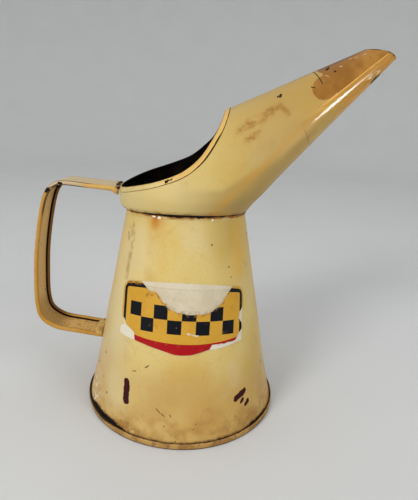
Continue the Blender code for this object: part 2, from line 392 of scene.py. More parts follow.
def clip_grid(points, keep, wrap_columns):
    """The part of a grid of points where keep is positive.

    points is rows x columns x any count of numbers, and keep is rows x columns. Returns the points,
    the faces and the indices of the points on the cut edge.
    """
    rows, columns = keep.shape
    flat = points.reshape(-1, points.shape[-1])
    value = keep.reshape(-1)
    made = []
    number = {}

    def corner(i):
        if i not in number:
            number[i] = len(made)
            made.append(flat[i])
        return number[i]

    def crossing(a, b):
        key = (min(a, b), max(a, b))
        if key not in number:
            number[key] = len(made)
            t = value[key[0]] / (value[key[0]] - value[key[1]])
            made.append(flat[key[0]] + (flat[key[1]] - flat[key[0]]) * t)
        return number[key]

    faces = []
    for quad in grid_faces(rows, columns, False, wrap_columns):
        inside = [value[i] > 0 for i in quad]
        if not any(inside):
            continue
        face = []
        for k, a in enumerate(quad):
            b = quad[(k + 1) % 4]
            if inside[k]:
                face.append(corner(a))
            if inside[k] != inside[(k + 1) % 4]:
                face.append(crossing(a, b))
        faces.append(tuple(face))
    edge = [i for key, i in number.items() if isinstance(key, tuple)]
    return np.array(made), faces, edge


def sweep(path_frames, section):
    """Points of a section (a, b) carried along frames (place, axis for a, axis for b)."""
    return [place + across * a + out * b for place, across, out in path_frames for a, b in section]


def tube(path, radii, steps=20):
    """A round bar along a path in an XZ plane, with a radius at each point, as (points, faces)."""
    points = []
    side = Vector((0.0, 1.0, 0.0))
    for i, place in enumerate(path):
        up = heading(path, i).cross(side)
        for k in range(steps):
            turn = 2 * pi * k / steps
            points.append(place + (side * cos(turn) + up * sin(turn)) * radii[i])
    return points, capped_faces(len(path), steps)


# Materials: numbers and colours that vary over a surface

def srgb(red, green, blue):
    """A colour given as it looks on screen, 0 to 255, as linear light."""
    def linear(value):
        v = value / 255
        return v / 12.92 if v <= 0.04045 else ((v + 0.055) / 1.055) ** 2.4
    return (linear(red), linear(green), linear(blue), 1.0)


class Value:
    """A number that varies over a surface; arithmetic on it adds Math nodes."""

    def __init__(self, tree, socket):
        self.tree = tree
        self.socket = socket

    def math(self, operation, *others):
        node = self.tree.nodes.new("ShaderNodeMath")
        node.operation = operation
        for entry, operand in zip(node.inputs, (self, *others)):
            if isinstance(operand, Value):
                self.tree.links.new(operand.socket, entry)
            else:
                entry.default_value = operand
        return Value(self.tree, node.outputs[0])

    def __add__(self, other):
        return self.math("ADD", other)

    def __sub__(self, other):
        return self.math("SUBTRACT", other)

    def __mul__(self, other):
        return self.math("MULTIPLY", other)

    def __truediv__(self, other):
        return self.math("DIVIDE", other)

    def at_least(self, other):
        return self.math("MAXIMUM", other)

    def at_most(self, other):
        return self.math("MINIMUM", other)

    def size(self):
        return self.math("ABSOLUTE")

    def root(self):
        return self.math("SQRT")

    def wave(self):
        return self.math("SINE")

    def angle_from(self, other):
        return self.math("ARCTAN2", other)

    def ease(self, start, end):
        """0 at start, 1 at end, smooth between; start may be the larger."""
        node = self.tree.nodes.new("ShaderNodeMapRange")
        node.interpolation_type = "SMOOTHSTEP"
        self.tree.links.new(self.socket, node.inputs["Value"])
        node.inputs["From Min"].default_value = start
        node.inputs["From Max"].default_value = end
        return Value(self.tree, node.outputs["Result"])


class Look:
    """A finish being built on a Principled shader, in the model's own coordinates.

    Bars and spots are placed in its plane, a pair of Values. A finish that is built by several
    functions keeps the masks that they share as attributes.
    """

    def __init__(self, name, colour):
        self.material = bpy.data.materials.new(name)
        self.material.use_nodes = True
        self.tree = self.material.node_tree
        self.shader = self.tree.nodes["Principled BSDF"]
        self.point = self.tree.nodes.new("ShaderNodeTexCoord").outputs["Object"]
        self.x, self.y, self.z = self.split(self.point)
        self.plane = (self.x, self.z)
        self.shader.inputs["Specular IOR Level"].default_value = 0.14
        self.colour = colour
        self.roughness = None

    def split(self, vector):
        node = self.tree.nodes.new("ShaderNodeSeparateXYZ")
        self.tree.links.new(vector, node.inputs[0])
        return [Value(self.tree, out) for out in node.outputs]

    def own_places(self):
        """The three numbers kept with the piece's points."""
        node = self.tree.nodes.new("ShaderNodeAttribute")
        node.attribute_name = "place"
        return self.split(node.outputs["Vector"])

    def bearing(self):
        """Angle round the jug's axis, from -Y towards +X."""
        return self.x.angle_from(self.y * -1.0)

    def place(self, stretch, shift):
        """The model's coordinates, stretched and shifted, for a texture."""
        node = self.tree.nodes.new("ShaderNodeMapping")
        self.tree.links.new(self.point, node.inputs["Vector"])
        node.inputs["Scale"].default_value = stretch
        node.inputs["Location"].default_value = shift
        return node.outputs["Vector"]

    def noise(self, scale, detail=3.0, shift=(0, 0, 0), stretch=(1, 1, 1), twist=0.0):
        """Cloudy noise from 0 to 1; scale counts waves per metre."""
        node = self.tree.nodes.new("ShaderNodeTexNoise")
        self.tree.links.new(self.place(stretch, shift), node.inputs["Vector"])
        node.inputs["Scale"].default_value = scale
        node.inputs["Detail"].default_value = detail
        node.inputs["Distortion"].default_value = twist
        return Value(self.tree, node.outputs["Fac"])

    def dots(self, scale, size, share, shift=(0, 0, 0), stretch=(1, 1, 1)):
        """1 inside scattered dots; size is in cells, share the part of the cells that have one."""
        node = self.tree.nodes.new("ShaderNodeTexVoronoi")
        self.tree.links.new(self.place(stretch, shift), node.inputs["Vector"])
        node.inputs["Scale"].default_value = scale
        split = self.tree.nodes.new("ShaderNodeSeparateColor")
        self.tree.links.new(node.outputs["Color"], split.inputs["Color"])
        chosen = Value(self.tree, split.outputs["Red"]).ease(share, share - 0.02)
        width = Value(self.tree, split.outputs["Green"]) * size + size * 0.3
        near = (Value(self.tree, node.outputs["Distance"]) / width).ease(1.0, 0.7)
        return near * chosen

    def bar(self, start, end, radius):
        """Distance outside a rounded bar from start to end."""
        run = (end[0] - start[0], end[1] - start[1])
        square = run[0] ** 2 + run[1] ** 2
        du = self.plane[0] - start[0]
        dv = self.plane[1] - start[1]
        along = ((du * run[0] + dv * run[1]) / square).at_least(0.0).at_most(1.0)
        side = du - along * run[0]
        rise = dv - along * run[1]
        return (side * side + rise * rise).root() - radius

    def bars(self, rows):
        """Distance outside the nearest of several bars."""
        return nearest([self.bar(*row) for row in rows])

    def spot(self, centre, radii):
        """Distance from a centre as a share of the two radii: 1 on the ellipse's edge."""
        du = (self.plane[0] - centre[0]) / radii[0]
        dv = (self.plane[1] - centre[1]) / radii[1]
        return (du * du + dv * dv).root()

    def spots(self, rows):
        """The smallest such distance from several spots."""
        return nearest([self.spot(*row) for row in rows])

    def paint(self, share, colour, roughness=None):
        """Lays a colour and a roughness, or one of them, over what is there; share goes from 0 to 1."""
        if colour is not None:
            self.colour = self.mix("RGBA", share, self.colour, colour, (6, 7, 2))
        if roughness is not None:
            under = self.roughness.socket
            self.roughness = Value(self.tree, self.mix("FLOAT", share, under, roughness, (2, 3, 0)))

    def mix(self, kind, share, under, over, sockets):
        node = self.tree.nodes.new("ShaderNodeMix")
        node.data_type = kind
        self.tree.links.new(share.socket, node.inputs[0])
        for number, operand in zip(sockets, (under, over)):
            if isinstance(operand, bpy.types.NodeSocket):
                self.tree.links.new(operand, node.inputs[number])
            else:
                node.inputs[number].default_value = operand
        return node.outputs[sockets[2]]

    def finish(self, height=None, depth=0.0):
        """Links the colour, roughness and bump; depth is the bump's height in metres."""
        self.tree.links.new(self.colour, self.shader.inputs["Base Color"])
        self.tree.links.new(self.roughness.socket, self.shader.inputs["Roughness"])
        if height is not None:
            bump = self.tree.nodes.new("ShaderNodeBump")
            bump.inputs["Strength"].default_value = 1.0
            bump.inputs["Distance"].default_value = depth
            self.tree.links.new(height.socket, bump.inputs["Height"])
            self.tree.links.new(bump.outputs["Normal"], self.shader.inputs["Normal"])
        return self.material


# Colours, as they look on screen
CREAM = srgb(212, 189, 121)
YELLOWED = srgb(204, 168, 84)
BLEACHED_AND_SHEEN = srgb(213, 198, 153)
AMBER = srgb(190, 136, 50)
STAIN = srgb(172, 126, 60)
BROWN = srgb(138, 92, 38)
RUST = srgb(166, 98, 26)
PITS = srgb(84, 54, 28)
GRIME = srgb(17, 12, 9)
MAROON = srgb(56, 8, 14)
BARE_TIP = srgb(136, 88, 29)
DUST = srgb(196, 176, 142)
WHITE_PAPER = srgb(206, 194, 168)
CLEAN_PAPER = srgb(222, 212, 190)
INK_AMBER = srgb(202, 154, 54)
INK_NAVY = srgb(10, 13, 20)
INK_RED = srgb(160, 14, 20)

# Broad tints on the body: (bearing, height), radii, share, colour. The pale ones on the left are painted
# sheen as well as sun-fading.
UPPER_TINTS = (
    ((-38.0, 0.116), (0.018, 0.026), 0.55, BLEACHED_AND_SHEEN),
    ((-62.0, 0.045), (0.030, 0.050), 0.75, srgb(198, 179, 134)),
    ((-55.0, 0.095), (0.016, 0.045), 0.50, BLEACHED_AND_SHEEN),
    ((-48.0, 0.068), (0.018, 0.032), 0.60, srgb(206, 188, 142)),
    ((40.0, 0.127), (0.018, 0.022), 0.55, srgb(184, 150, 68)),
)
# the pale tint on the left is painted sheen as well as sun-fading
LOWER_TINTS = (
    ((2.0, 0.034), (0.032, 0.020), 0.45, srgb(180, 142, 78)),
    ((-40.0, 0.026), (0.016, 0.020), 0.70, srgb(206, 188, 138)),
)
# Specks on the body: (bearing, height, radius)
BODY_SPECKS = (
    (-55.4, 0.1230, 0.0006), (26.6, 0.1214, 0.0007), (42.0, 0.1070, 0.0007), (43.3, 0.1007, 0.0006),
    (-58.3, 0.0419, 0.0010), (-17.8, 0.0473, 0.0006), (-47.6, 0.0192, 0.0010), (-54.8, 0.0265, 0.0006),
    (-68.0, 0.0300, 0.0010), (72.0, 0.0360, 0.0007), (80.0, 0.1220, 0.0011), (12.0, 0.0120, 0.0005),
)
# Dark streaks down the body: (bearing, upper height, lower height)
BODY_STREAKS = (
    (-53.5, 0.1262, 0.1200), (-49.4, 0.1285, 0.1230), (-46.5, 0.1245, 0.1150),
    (-46.8, 0.1150, 0.1070), (-47.2, 0.1060, 0.0960), (73.0, 0.0385, 0.0335),
)
# Touches of dark red paint: (bearing, height) of both ends, and radius
BODY_DABS = (
    ((-31.0, 0.0340), (-29.8, 0.0224), 0.0023),
    ((46.6, 0.0274), (40.0, 0.0253), 0.0021),
    ((44.6, 0.0223), (43.9, 0.0216), 0.0014),
    ((49.0, 0.0198), (47.2, 0.0187), 0.0016),
)
# Thin scratches on the body: (bearing, height) of both ends
BODY_SCRATCHES = (
    ((-10.5, 0.0238), (-7.2, 0.0210)),
    ((-6.4, 0.0206), (-4.4, 0.0190)),
    ((-1.6, 0.0204), (-0.9, 0.0192)),
    ((-19.0, 0.0466), (-16.6, 0.0486)),
    ((-28.0, 0.0420), (-22.0, 0.0440)),
)

# Marks on the spout's near side: (along, over), then radii, or both ends and a radius
SPOUT_CHIPS = (
    ((0.0262, 0.0149), (0.0011, 0.0008)),
    ((0.0247, 0.0153), (0.0006, 0.0005)),
    ((0.0567, 0.0112), (0.0016, 0.0006)),
    ((0.0584, 0.0079), (0.0007, 0.0007)),
    ((0.0770, -0.0096), (0.0036, 0.0013)),
    ((0.0735, -0.0100), (0.0014, 0.0008)),
)
SPOUT_SMUDGES = (
    ((0.0020, 0.0125), (0.0085, 0.0032)),
    ((0.0010, 0.0062), (0.0060, 0.0028)),
    ((0.0130, 0.0110), (0.0090, 0.0028)),
)
SPOUT_ARC = (
    ((0.0140, 0.0118), (0.0228, 0.0108), 0.0002),
    ((0.0228, 0.0108), (0.0236, 0.0048), 0.0001),
)
SPOUT_DASHES = (
    ((0.0690, 0.0083), (0.0707, 0.0079), 0.00004),
    ((0.0716, 0.0074), (0.0732, 0.0069), 0.00004),
    ((0.0757, 0.0060), (0.0781, 0.0055), 0.00004),
    ((0.0622, 0.0084), (0.0633, 0.0078), 0.00004),
    ((0.0530, 0.0090), (0.0538, 0.0076), 0.00004),
    ((0.0517, 0.0119), (0.0523, 0.0106), 0.00004),
)
SPOUT_SCRATCH = (
    ((0.0266, -0.0085), (0.0262, -0.0132), 0.00006),
    ((0.0262, -0.0132), (0.0250, -0.0182), 0.00006),
)
SPOUT_CRACKS = (
    ((0.0500, 0.0142), (0.0486, 0.0068), 0.00016),
    ((0.0425, 0.0086), (0.0438, 0.0072), 0.00016),
)
# Chip in the hem and kinks in the handle's beads, seen from the side: (x, z)
HEM_CHIP = (
    ((-0.0093, 0.1572), (-0.0082, 0.1578), 0.0007),
    ((-0.0082, 0.1578), (-0.0058, 0.1588), 0.0002),
)
HANDLE_KINKS = (
    ((-0.0890, 0.1452), (0.0020, 0.0020)),
    ((-0.0797, 0.1500), (0.0020, 0.0009)),
)
# Painted highlights on the solder under the collar: (bearing, height from the collar), radii
NECK_GLINTS = (
    ((radians(-25.0), -0.0017), (0.034, 0.0006)),
    ((radians(-19.7), -0.0022), (0.032, 0.0009)),
    ((radians(28.0), -0.0023), (0.022, 0.0010)),
)
SPOUT_START = between(THROAT_BELLY, THROAT_CREST, 0.5)
SPOUT_END = between(TIP_LIP, TIP_CREST, 0.5)


def nearest(distances):
    """The smallest of several distances."""
    best = distances[0]
    for other in distances[1:]:
        best = best.at_most(other)
    return best


def enamel(name):
    """Old cream enamel: yellowed in clouds, bleached in patches, finely stained and pitted."""
    look = Look(name, CREAM)
    look.roughness = look.noise(45.0) * 0.20 + 0.24
    look.paint(look.noise(17.0, 4.0).ease(0.40, 0.64) * 0.75, YELLOWED)
    look.paint(look.noise(24.0, 3.0, (0.3, 0.1, 0.7)).ease(0.54, 0.72) * 0.55, BLEACHED_AND_SHEEN)
    look.paint(look.noise(80.0, 4.0, (0.2, 0.5, 0.0), twist=0.8).ease(0.56, 0.76) * 0.30, STAIN)
    look.paint(look.noise(480.0, 3.0).ease(0.50, 0.80) * 0.20, STAIN)
    look.paint(look.dots(230.0, 0.10, 0.12), PITS, 0.75)
    return look


def orange_peel(look):
    return look.noise(620.0, 2.0) + look.noise(90.0, 2.0) * 2.0


def under_collar(look):
    """Height measured as if the collar's edge were level."""
    share = look.y / COLLAR_EDGE_RADIUS
    return look.z - share * share * NECK_LIFT


def on_body(degrees, z):
    """A mark's place on the body as (length round it, height)."""
    return (radians(degrees) * body_radius(z), z)


def tint_body(look, tints):
    for place, radii, share, colour in tints:
        look.paint(look.spot(on_body(*place), radii).ease(1.1, 0.2) * share, colour)


def body_tones(look):
    """Yellowed at the neck, paler on the left (painted sheen as well as sun-fading), tanned and stained
    towards the foot.
    """
    up = look.z
    look.paint(up.ease(0.075, 0.125) * 0.20, YELLOWED)
    # the pale tints on the left are painted sheen as well as sun-fading
    tint_body(look, UPPER_TINTS)
    look.paint(up.ease(0.070, 0.015) * 0.55, srgb(184, 144, 80))
    look.paint(up.ease(0.050, 0.006) * look.cloud.ease(0.35, 0.65) * 0.45, STAIN)
    stains = look.noise(140.0, 6.0, (0.0, 0.7, 0.2)).ease(0.42, 0.66)
    look.paint(up.ease(0.026, 0.003) * stains * 0.50, BROWN, 0.6)
    tint_body(look, LOWER_TINTS)
    right = look.spot(on_body(45.0, 0.009), (0.022, 0.011)).ease(1.1, 0.3)
    look.paint(right * look.cloud.ease(0.3, 0.6) * 0.35, BROWN, 0.6)
    left = look.spot(on_body(-27.0, 0.006), (0.014, 0.0045)).ease(1.2, 0.5)
    look.paint(left * look.ragged.ease(0.3, 0.6) * 0.7, BROWN, 0.6)


def body_rust(look):
    """Amber and rusty runs below the collar."""
    ragged = look.ragged
    cloud = look.cloud
    right_glow = look.bar(on_body(60.0, 0.133), on_body(54.0, 0.104), 0.0010).ease(0.0090, 0.0)
    look.paint(right_glow * cloud.ease(0.15, 0.7) * 0.55, srgb(222, 168, 66))
    left_glow = look.bar(on_body(-23.5, 0.130), on_body(-22.0, 0.088), 0.0005).ease(0.0060, 0.0)
    look.paint(left_glow * cloud.ease(0.3, 0.7) * 0.55, AMBER)
    neck = (under_collar(look) + (ragged - 0.5) * 0.005).ease(0.1345, 0.1370)
    look.paint(neck * cloud.ease(0.45, 0.62) * 0.75, RUST, 0.6)
    haze = look.spot(on_body(-22.5, 0.1340), (0.0090, 0.0075)).ease(1.1, 0.1)
    look.paint(haze * (cloud * 0.6 + 0.4), srgb(196, 136, 40))
    drip = look.bar(on_body(-23.5, 0.1385), on_body(-23.2, 0.1290), 0.0001).ease(0.0036, 0.0004)
    look.paint(drip * look.z.ease(0.1255, 0.1360) * (ragged * 0.8 + 0.4), srgb(184, 110, 16))
    pool = look.spot(on_body(-21.0, 0.1372), (0.0075, 0.0022)).ease(1.2, 0.3)
    look.paint(pool * ragged.ease(0.25, 0.6) * 0.8, RUST, 0.4)


def body_marks(look):
    """Streaks, a ring, scratches, specks, chips and touches of dark red paint."""
    ragged = look.ragged
    streaks = look.bars([(on_body(b, high), on_body(b, low), 0.0003) for b, high, low in BODY_STREAKS])
    look.paint(streaks.ease(0.0026, 0.0) * ragged.ease(0.30, 0.62) * 0.55, srgb(138, 112, 58))
    ring = (look.spot(on_body(19.8, 0.019), (0.0046, 0.0056)) - 0.8).size()
    look.paint(ring.ease(0.30, 0.0) * look.cloud.ease(0.3, 0.6) * 0.30, srgb(172, 118, 84))
    scratches = look.bars([(on_body(*start), on_body(*end), 0.00014) for start, end in BODY_SCRATCHES])
    look.paint(scratches.ease(0.00028, 0.0) * ragged.ease(0.38, 0.55), PITS)
    specks = look.spots([(on_body(b, z), (r, r)) for b, z, r in BODY_SPECKS])
    look.paint((specks + ragged * 0.7).ease(1.25, 1.0), PITS, 0.7)
    flakes = look.noise(420.0, 3.0, (0.0, 0.3, 0.0)).ease(0.55, 0.60)
    chips = look.spot(on_body(-65.0, 0.013), (0.015, 0.015)).ease(1.1, 0.4) * flakes
    look.paint(chips * 0.80, srgb(222, 214, 194), 0.6)
    nicks = look.z.ease(0.030, 0.004) * look.noise(520.0, 3.0, (0.6, 0.0, 0.2)).ease(0.68, 0.72)
    look.paint(nicks, PITS, 0.7)
    dabs = look.bars([(on_body(*start), on_body(*end), radius) for start, end, radius in BODY_DABS])
    look.paint((dabs + (ragged - 0.5) * 0.0022).ease(0.0002, -0.0002), MAROON, 0.65)


def body_edges(look):
    """Grime in the seam at the foot and on the hidden top edge, and stains round the handle's foot."""
    fine = look.noise(700.0, 4.0, (0.2, 0.0, 0.0))
    uneven = (look.ragged - 0.5) * 0.0020 + (fine - 0.5) * 0.0016 + (look.cloud - 0.5) * 0.0020
    left = look.spot(on_body(-46.0, 0.004), (0.022, 0.030)).ease(1.1, 0.3) * 0.0026
    right = look.spot(on_body(58.0, 0.004), (0.016, 0.030)).ease(1.1, 0.4) * 0.0010
    line = look.z - uneven - left - right
    look.paint(line.ease(0.0054, 0.0036) * 0.8, srgb(112, 70, 32), 0.7)
    look.paint(line.ease(0.0039, 0.0034), GRIME, 0.75)
    look.paint((under_collar(look) - COLLAR_EDGE_Z).ease(0.0008, 0.0016), GRIME, 0.4)
    joint = look.spot(on_body(-84.0, 0.0450), (0.0085, 0.0070)).ease(1.1, 0.4)
    look.paint(joint * (look.ragged * 0.7 + 0.2), AMBER)
    look.paint(joint * look.dots(420.0, 0.30, 0.50, (0.2, 0.3, 0.0)), PITS, 0.7)


def body_enamel():
    look = enamel("body_enamel")
    look.plane = (look.bearing() * (look.z * -TAPER + FOOT_RADIUS), look.z)
    look.ragged = look.noise(260.0, 4.0, twist=0.5)
    look.cloud = look.noise(55.0, 5.0, (0.4, 0.2, 0.1))
    body_tones(look)
    body_rust(look)
    body_marks(look)
    body_edges(look)
    return look.finish(orange_peel(look), 0.000016)


def hood_tones(look):
    """Paler at the collar and darker higher up, partly painted shade on the upward faces and partly stain;
    browner towards the spout's tip; painted shade on the belly, with some grime, and an amber band over it.
    """
    along = look.along
    cloud = look.cloud
    # darker higher up the hood: partly painted shade on its upward faces, partly oil stain
    look.paint(look.z.ease(0.148, 0.160) * 0.35, srgb(186, 156, 88))
    look.paint(look.z.ease(0.162, 0.146) * 0.75, srgb(192, 168, 106), 0.5)
    look.paint(look.z.ease(0.160, 0.152) * look.x.ease(-0.010, -0.034) * 0.55, srgb(204, 188, 136))
    look.paint(along.ease(-0.045, 0.030) * 0.78, srgb(168, 134, 68))
    border = (look.x - 0.0224).at_least(0.0) * 0.556 + (look.x - 0.0564).at_least(0.0) * 0.53 + 0.1539
    # painted shade on the belly, where the hood turns under, with some grime
    belly = (look.z - border).ease(0.0025, -0.0030) * look.x.ease(-0.010, 0.030)
    look.paint(belly * (cloud * 0.4 + 0.45), srgb(156, 128, 70))
    band = (look.over - along * 0.12 + 0.0106 + (cloud - 0.5) * 0.0040).size().ease(0.0042, 0.0)
    span = along.ease(-0.050, -0.030) * along.ease(0.060, 0.045)
    look.paint(band * span * cloud.ease(0.15, 0.6) * 0.65, srgb(194, 145, 62))


def spout_smear(look):
    """A brown smear on the near side, with a darker arc at its end."""
    smudges = look.spots(SPOUT_SMUDGES)
    smear = look.noise(170.0, 5.0, (0.1, 0.0, 0.4), (1.0, 1.0, 1.5), 0.5)
    look.paint(smudges.ease(1.5, 0.3) * smear.ease(0.25, 0.60) * look.near * 0.50, STAIN)
    flecks = look.noise(420.0, 3.0, (0.3, 0.0, 0.2), (1.4, 1.0, 1.0)).ease(0.36, 0.58)
    look.paint(smudges.ease(1.25, 0.45) * smear.ease(0.40, 0.64) * flecks * look.near * 0.60, BROWN)
    arc = look.bars(SPOUT_ARC).ease(0.0024, 0.0)
    look.paint(arc * smear.ease(0.25, 0.60) * look.near * 0.75, BROWN)


def bare_tip(look):
    """The spout's end, rubbed bare down to its fold and glossy under it, with a painted highlight line
    along the fold.
    """
    along = look.along
    share = look.share
    ragged = look.ragged
    lobe = look.spot((0.0485, 0.0040), (0.0074, 0.0064)) + (ragged - 0.5) * 0.16
    beyond = (along + (ragged - 0.5) * 0.0030).ease(0.0515, 0.0522)
    tip = lobe.ease(1.02, 0.97).at_least(beyond) * share.ease(FOLD_SHARE + 0.02, FOLD_SHARE - 0.01)
    look.paint(tip * 0.93, BARE_TIP, 0.34)
    look.paint(tip * look.cloud.ease(0.42, 0.70) * 0.60, srgb(178, 128, 60))
    look.paint(tip * look.noise(330.0, 4.0).ease(0.46, 0.70) * 0.40, srgb(132, 86, 34))
    look.paint(tip * along.ease(0.058, 0.044) * 0.35, srgb(146, 98, 38))
    look.paint(tip * share.ease(0.09, 0.01) * ragged.ease(0.20, 0.5) * 0.8, srgb(106, 70, 28))
    under = share.ease(FOLD_SHARE, FOLD_SHARE + 0.03)
    look.paint(under * along.ease(0.038, 0.060) * 0.80, srgb(176, 124, 44))
    look.paint(under * along.ease(0.0245, 0.0280), None, 0.13)
    # a thin bright amber line along the fold: a painted highlight
    fold = (share - FOLD_SHARE + 0.006).size().ease(0.020, 0.003) * along.ease(0.036, 0.050)
    look.paint(fold * 0.85, srgb(228, 172, 84), 0.2)
    look.paint(look.out.ease(0.985, 0.996) * ragged.ease(0.46, 0.58), srgb(84, 56, 28), 0.6)


def spout_marks(look):
    """Pale scuffs and dashes, thin scratches, dark chips and a worn crest."""
    near = look.near
    ragged = look.ragged
    pale = look.spot((0.0755, -0.0066), (0.0046, 0.0013)).ease(1.2, 0.6) * ragged.ease(0.46, 0.56)
    look.paint(pale * near, srgb(208, 184, 142), 0.4)
    dashes = look.bars(SPOUT_DASHES) + (ragged - 0.5) * 0.0011
    look.paint(dashes.ease(0.00020, 0.0) * near * 0.75, srgb(214, 190, 150))
    look.paint(look.bars(SPOUT_SCRATCH).ease(0.00028, 0.0) * near * 0.8, BROWN)
    look.paint(look.bars(SPOUT_CRACKS).ease(0.00030, 0.0) * near, srgb(60, 36, 18), 0.6)
    fine = look.noise(760.0, 3.0, (0.4, 0.0, 0.0))
    chips = look.spots(SPOUT_CHIPS) + (fine - 0.5) * 2.2
    look.paint(chips.ease(1.05, 0.85) * near, srgb(44, 28, 16), 0.7)
    crest = look.share.ease(0.012, 0.002) * look.out.ease(0.30, 0.45) * ragged.ease(0.40, 0.55)
    look.paint(crest * 0.8, srgb(96, 66, 36), 0.6)


def collar_brim(look):
    """Stains along the collar's lower edge, and black at the edge itself: painted shade with grime."""
    brim = under_collar(look) - COLLAR_EDGE_Z
    bearing = look.bearing()
    look.paint(brim.ease(0.0026, 0.0004) * look.ragged.ease(0.46, 0.62) * 0.8, BROWN, 0.6)
    glow = brim.ease(0.0050, 0.0004) * bearing.ease(0.25, 0.50) * bearing.ease(0.95, 0.65)
    look.paint(glow * (look.cloud * 0.6 + 0.2), AMBER)
    # black at the collar's lower edge: painted shade under it, with grime
    look.paint(brim.ease(0.0006, 0.0002) * (neck_shade_and_grime(bearing, look.cloud) * 0.6 + 0.4), GRIME, 0.7)


def hood_enamel():
    look = enamel("hood_enamel")
    look.share, look.out, _ = look.own_places()
    run = (Vector(SPOUT_END) - Vector(SPOUT_START)).normalized()
    dx = look.x - SPOUT_START[0]
    dz = look.z - SPOUT_START[1]
    look.along = dx * run.x + dz * run.y
    look.over = dz * run.x - dx * run.y
    look.plane = (look.along, look.over)
    look.near = look.y.ease(0.002, -0.002)
    look.ragged = look.noise(240.0, 4.0, twist=0.5)
    look.cloud = look.noise(60.0, 5.0, (0.4, 0.2, 0.1))
    hood_tones(look)
    spout_smear(look)
    bare_tip(look)
    spout_marks(look)
    collar_brim(look)
    return look.finish(orange_peel(look), 0.000016)


def hem_enamel():
    """The folded edge: enamel outside, grime in the line under it, oily black on its inner half."""
    look = enamel("hem_enamel")
    out, down, _ = look.own_places()
    ragged = look.noise(300.0, 3.0)
    look.paint(look.x.ease(-0.020, 0.000) * (ragged * 0.5 + 0.4), srgb(214, 166, 82))
    look.paint(look.x.ease(-0.010, -0.030) * 0.55, srgb(194, 174, 124))
    look.paint(down.ease(0.0009, -0.0003) * ragged.ease(0.3, 0.6) * 0.5, srgb(178, 124, 50))
    fine = look.noise(700.0, 3.0, (0.1, 0.0, 0.0))
    chip = look.bars(HEM_CHIP) + (fine - 0.5) * 0.0024
    look.paint(chip.ease(0.0002, -0.0001) * look.y.ease(0.0, -0.002), GRIME, 0.7)
    wide = look.x.ease(0.004, 0.012) * look.x.ease(0.022, 0.018) * 0.0005
    line = (down + wide - (ragged - 0.5) * 0.0006).ease(HEM_WIDTH - 0.00050, HEM_WIDTH - 0.00025)
    strength = look.x.ease(-0.045, 0.004) * 0.55 + 0.45
    look.paint(line * ragged.ease(0.12, 0.30) * strength, srgb(58, 36, 20), 0.7)
    far_top = down.ease(0.0007, 0.0001) * look.y.ease(0.000, 0.004)
    look.paint(out.ease(-0.00020, -0.00045).at_least(far_top), GRIME, 0.4)
    return look.finish(orange_peel(look), 0.000012)


def base_enamel():
    """The base rim: paint rubbed to tan, with grime along its upper fold and a painted shadow along its
    lowest edge.
    """
    look = enamel("base_enamel")
    rub = look.noise(110.0, 4.0, twist=0.4)
    ragged = look.noise(330.0, 4.0)
    look.paint(rub * 0.4 + 0.60, srgb(166, 120, 62), 0.5)
    look.paint(rub.ease(0.42, 0.58) * 0.45, srgb(116, 78, 42), 0.6)
    look.paint(ragged.ease(0.56, 0.66) * 0.45, srgb(70, 46, 28), 0.7)
    radius = (look.x * look.x + look.y * look.y).root()
    crevice = radius + (ragged - 0.5) * 0.0010 - look.bearing().ease(-0.55, -0.85) * 0.0010
    top = look.z.ease(RIM_HEIGHT - 0.0012, RIM_HEIGHT - 0.0006)
    look.paint(crevice.ease(RIM_RADIUS - 0.0003, RIM_RADIUS - 0.0008) * top * 0.9, GRIME, 0.8)
    # darker along the lowest edge, where it meets the floor: painted shadow
    look.paint(look.z.ease(0.0012, 0.0005) * 0.85, srgb(52, 38, 27), 0.8)
    return look.finish(orange_peel(look), 0.00002)


def handle_web(look):
    """The strap's inner face: grained tan, speckled more towards its foot, and darker in the bend's inner
    corner, a painted shadow with some stain.
    """
    web = look.inner * look.side.ease(0.0092, 0.0086) * look.out.ease(-0.0014, -0.0010)
    grain = look.noise(150.0, 4.0, stretch=(1.0, 1.0, 0.12))
    look.paint(web * (grain * 0.5 + 0.50), srgb(214, 176, 120), 0.55)
    look.paint(web * look.z.ease(0.060, 0.046) * 0.8, srgb(210, 167, 94), 0.55)
    specks = look.dots(300.0, 0.26, 0.60) * look.z.ease(0.180, 0.045)
    look.paint(web * specks * 0.8, srgb(112, 76, 42), 0.7)
    grit = look.dots(480.0, 0.36, 0.85, (0.4, 0.1, 0.0)) * look.z.ease(0.070, 0.045)
    look.paint(web * grit * 0.55, srgb(120, 82, 44), 0.7)
    # darker in the bend's inner corner: painted shadow, partly stain
    bend = look.spot((-0.0990, 0.0500), (0.0180, 0.0180)).ease(1.2, 0.5)
    look.paint(web * bend * 0.45, srgb(140, 102, 54))


def handle_beads(look):
    """The rolled edges: amber, dusty along the top run with a painted shadow along its underside, and brown
    on the far upright, a painted shade.
    """
    bead = look.bead
    look.paint(bead * (look.ragged * 0.5 + 0.50), srgb(176, 119, 28), 0.35)
    run = look.x.ease(-0.062, -0.068) * look.top
    look.paint(bead * run * 0.7, DUST)
    look.paint(bead * look.x.ease(-0.068, -0.062) * look.top * 0.5, srgb(218, 180, 100))
    # a dark line along the underside of the top run's bead: painted shadow
    low = look.out.ease(-0.0020, -0.0026) * look.ragged.ease(0.25, 0.45)
    look.paint(bead * run * low, srgb(44, 34, 28), 0.6)
    look.paint(bead * look.dots(210.0, 0.16, 0.25, (0.1, 0.0, 0.3)), PITS, 0.7)
    # brown on the far bead's upright, which faces away from the light: painted shade
    upright = look.z.ease(0.0470, 0.0520) * look.z.ease(0.1480, 0.1440)
    look.paint(bead * look.y.ease(0.004, 0.008) * upright * 0.8, srgb(112, 72, 24))


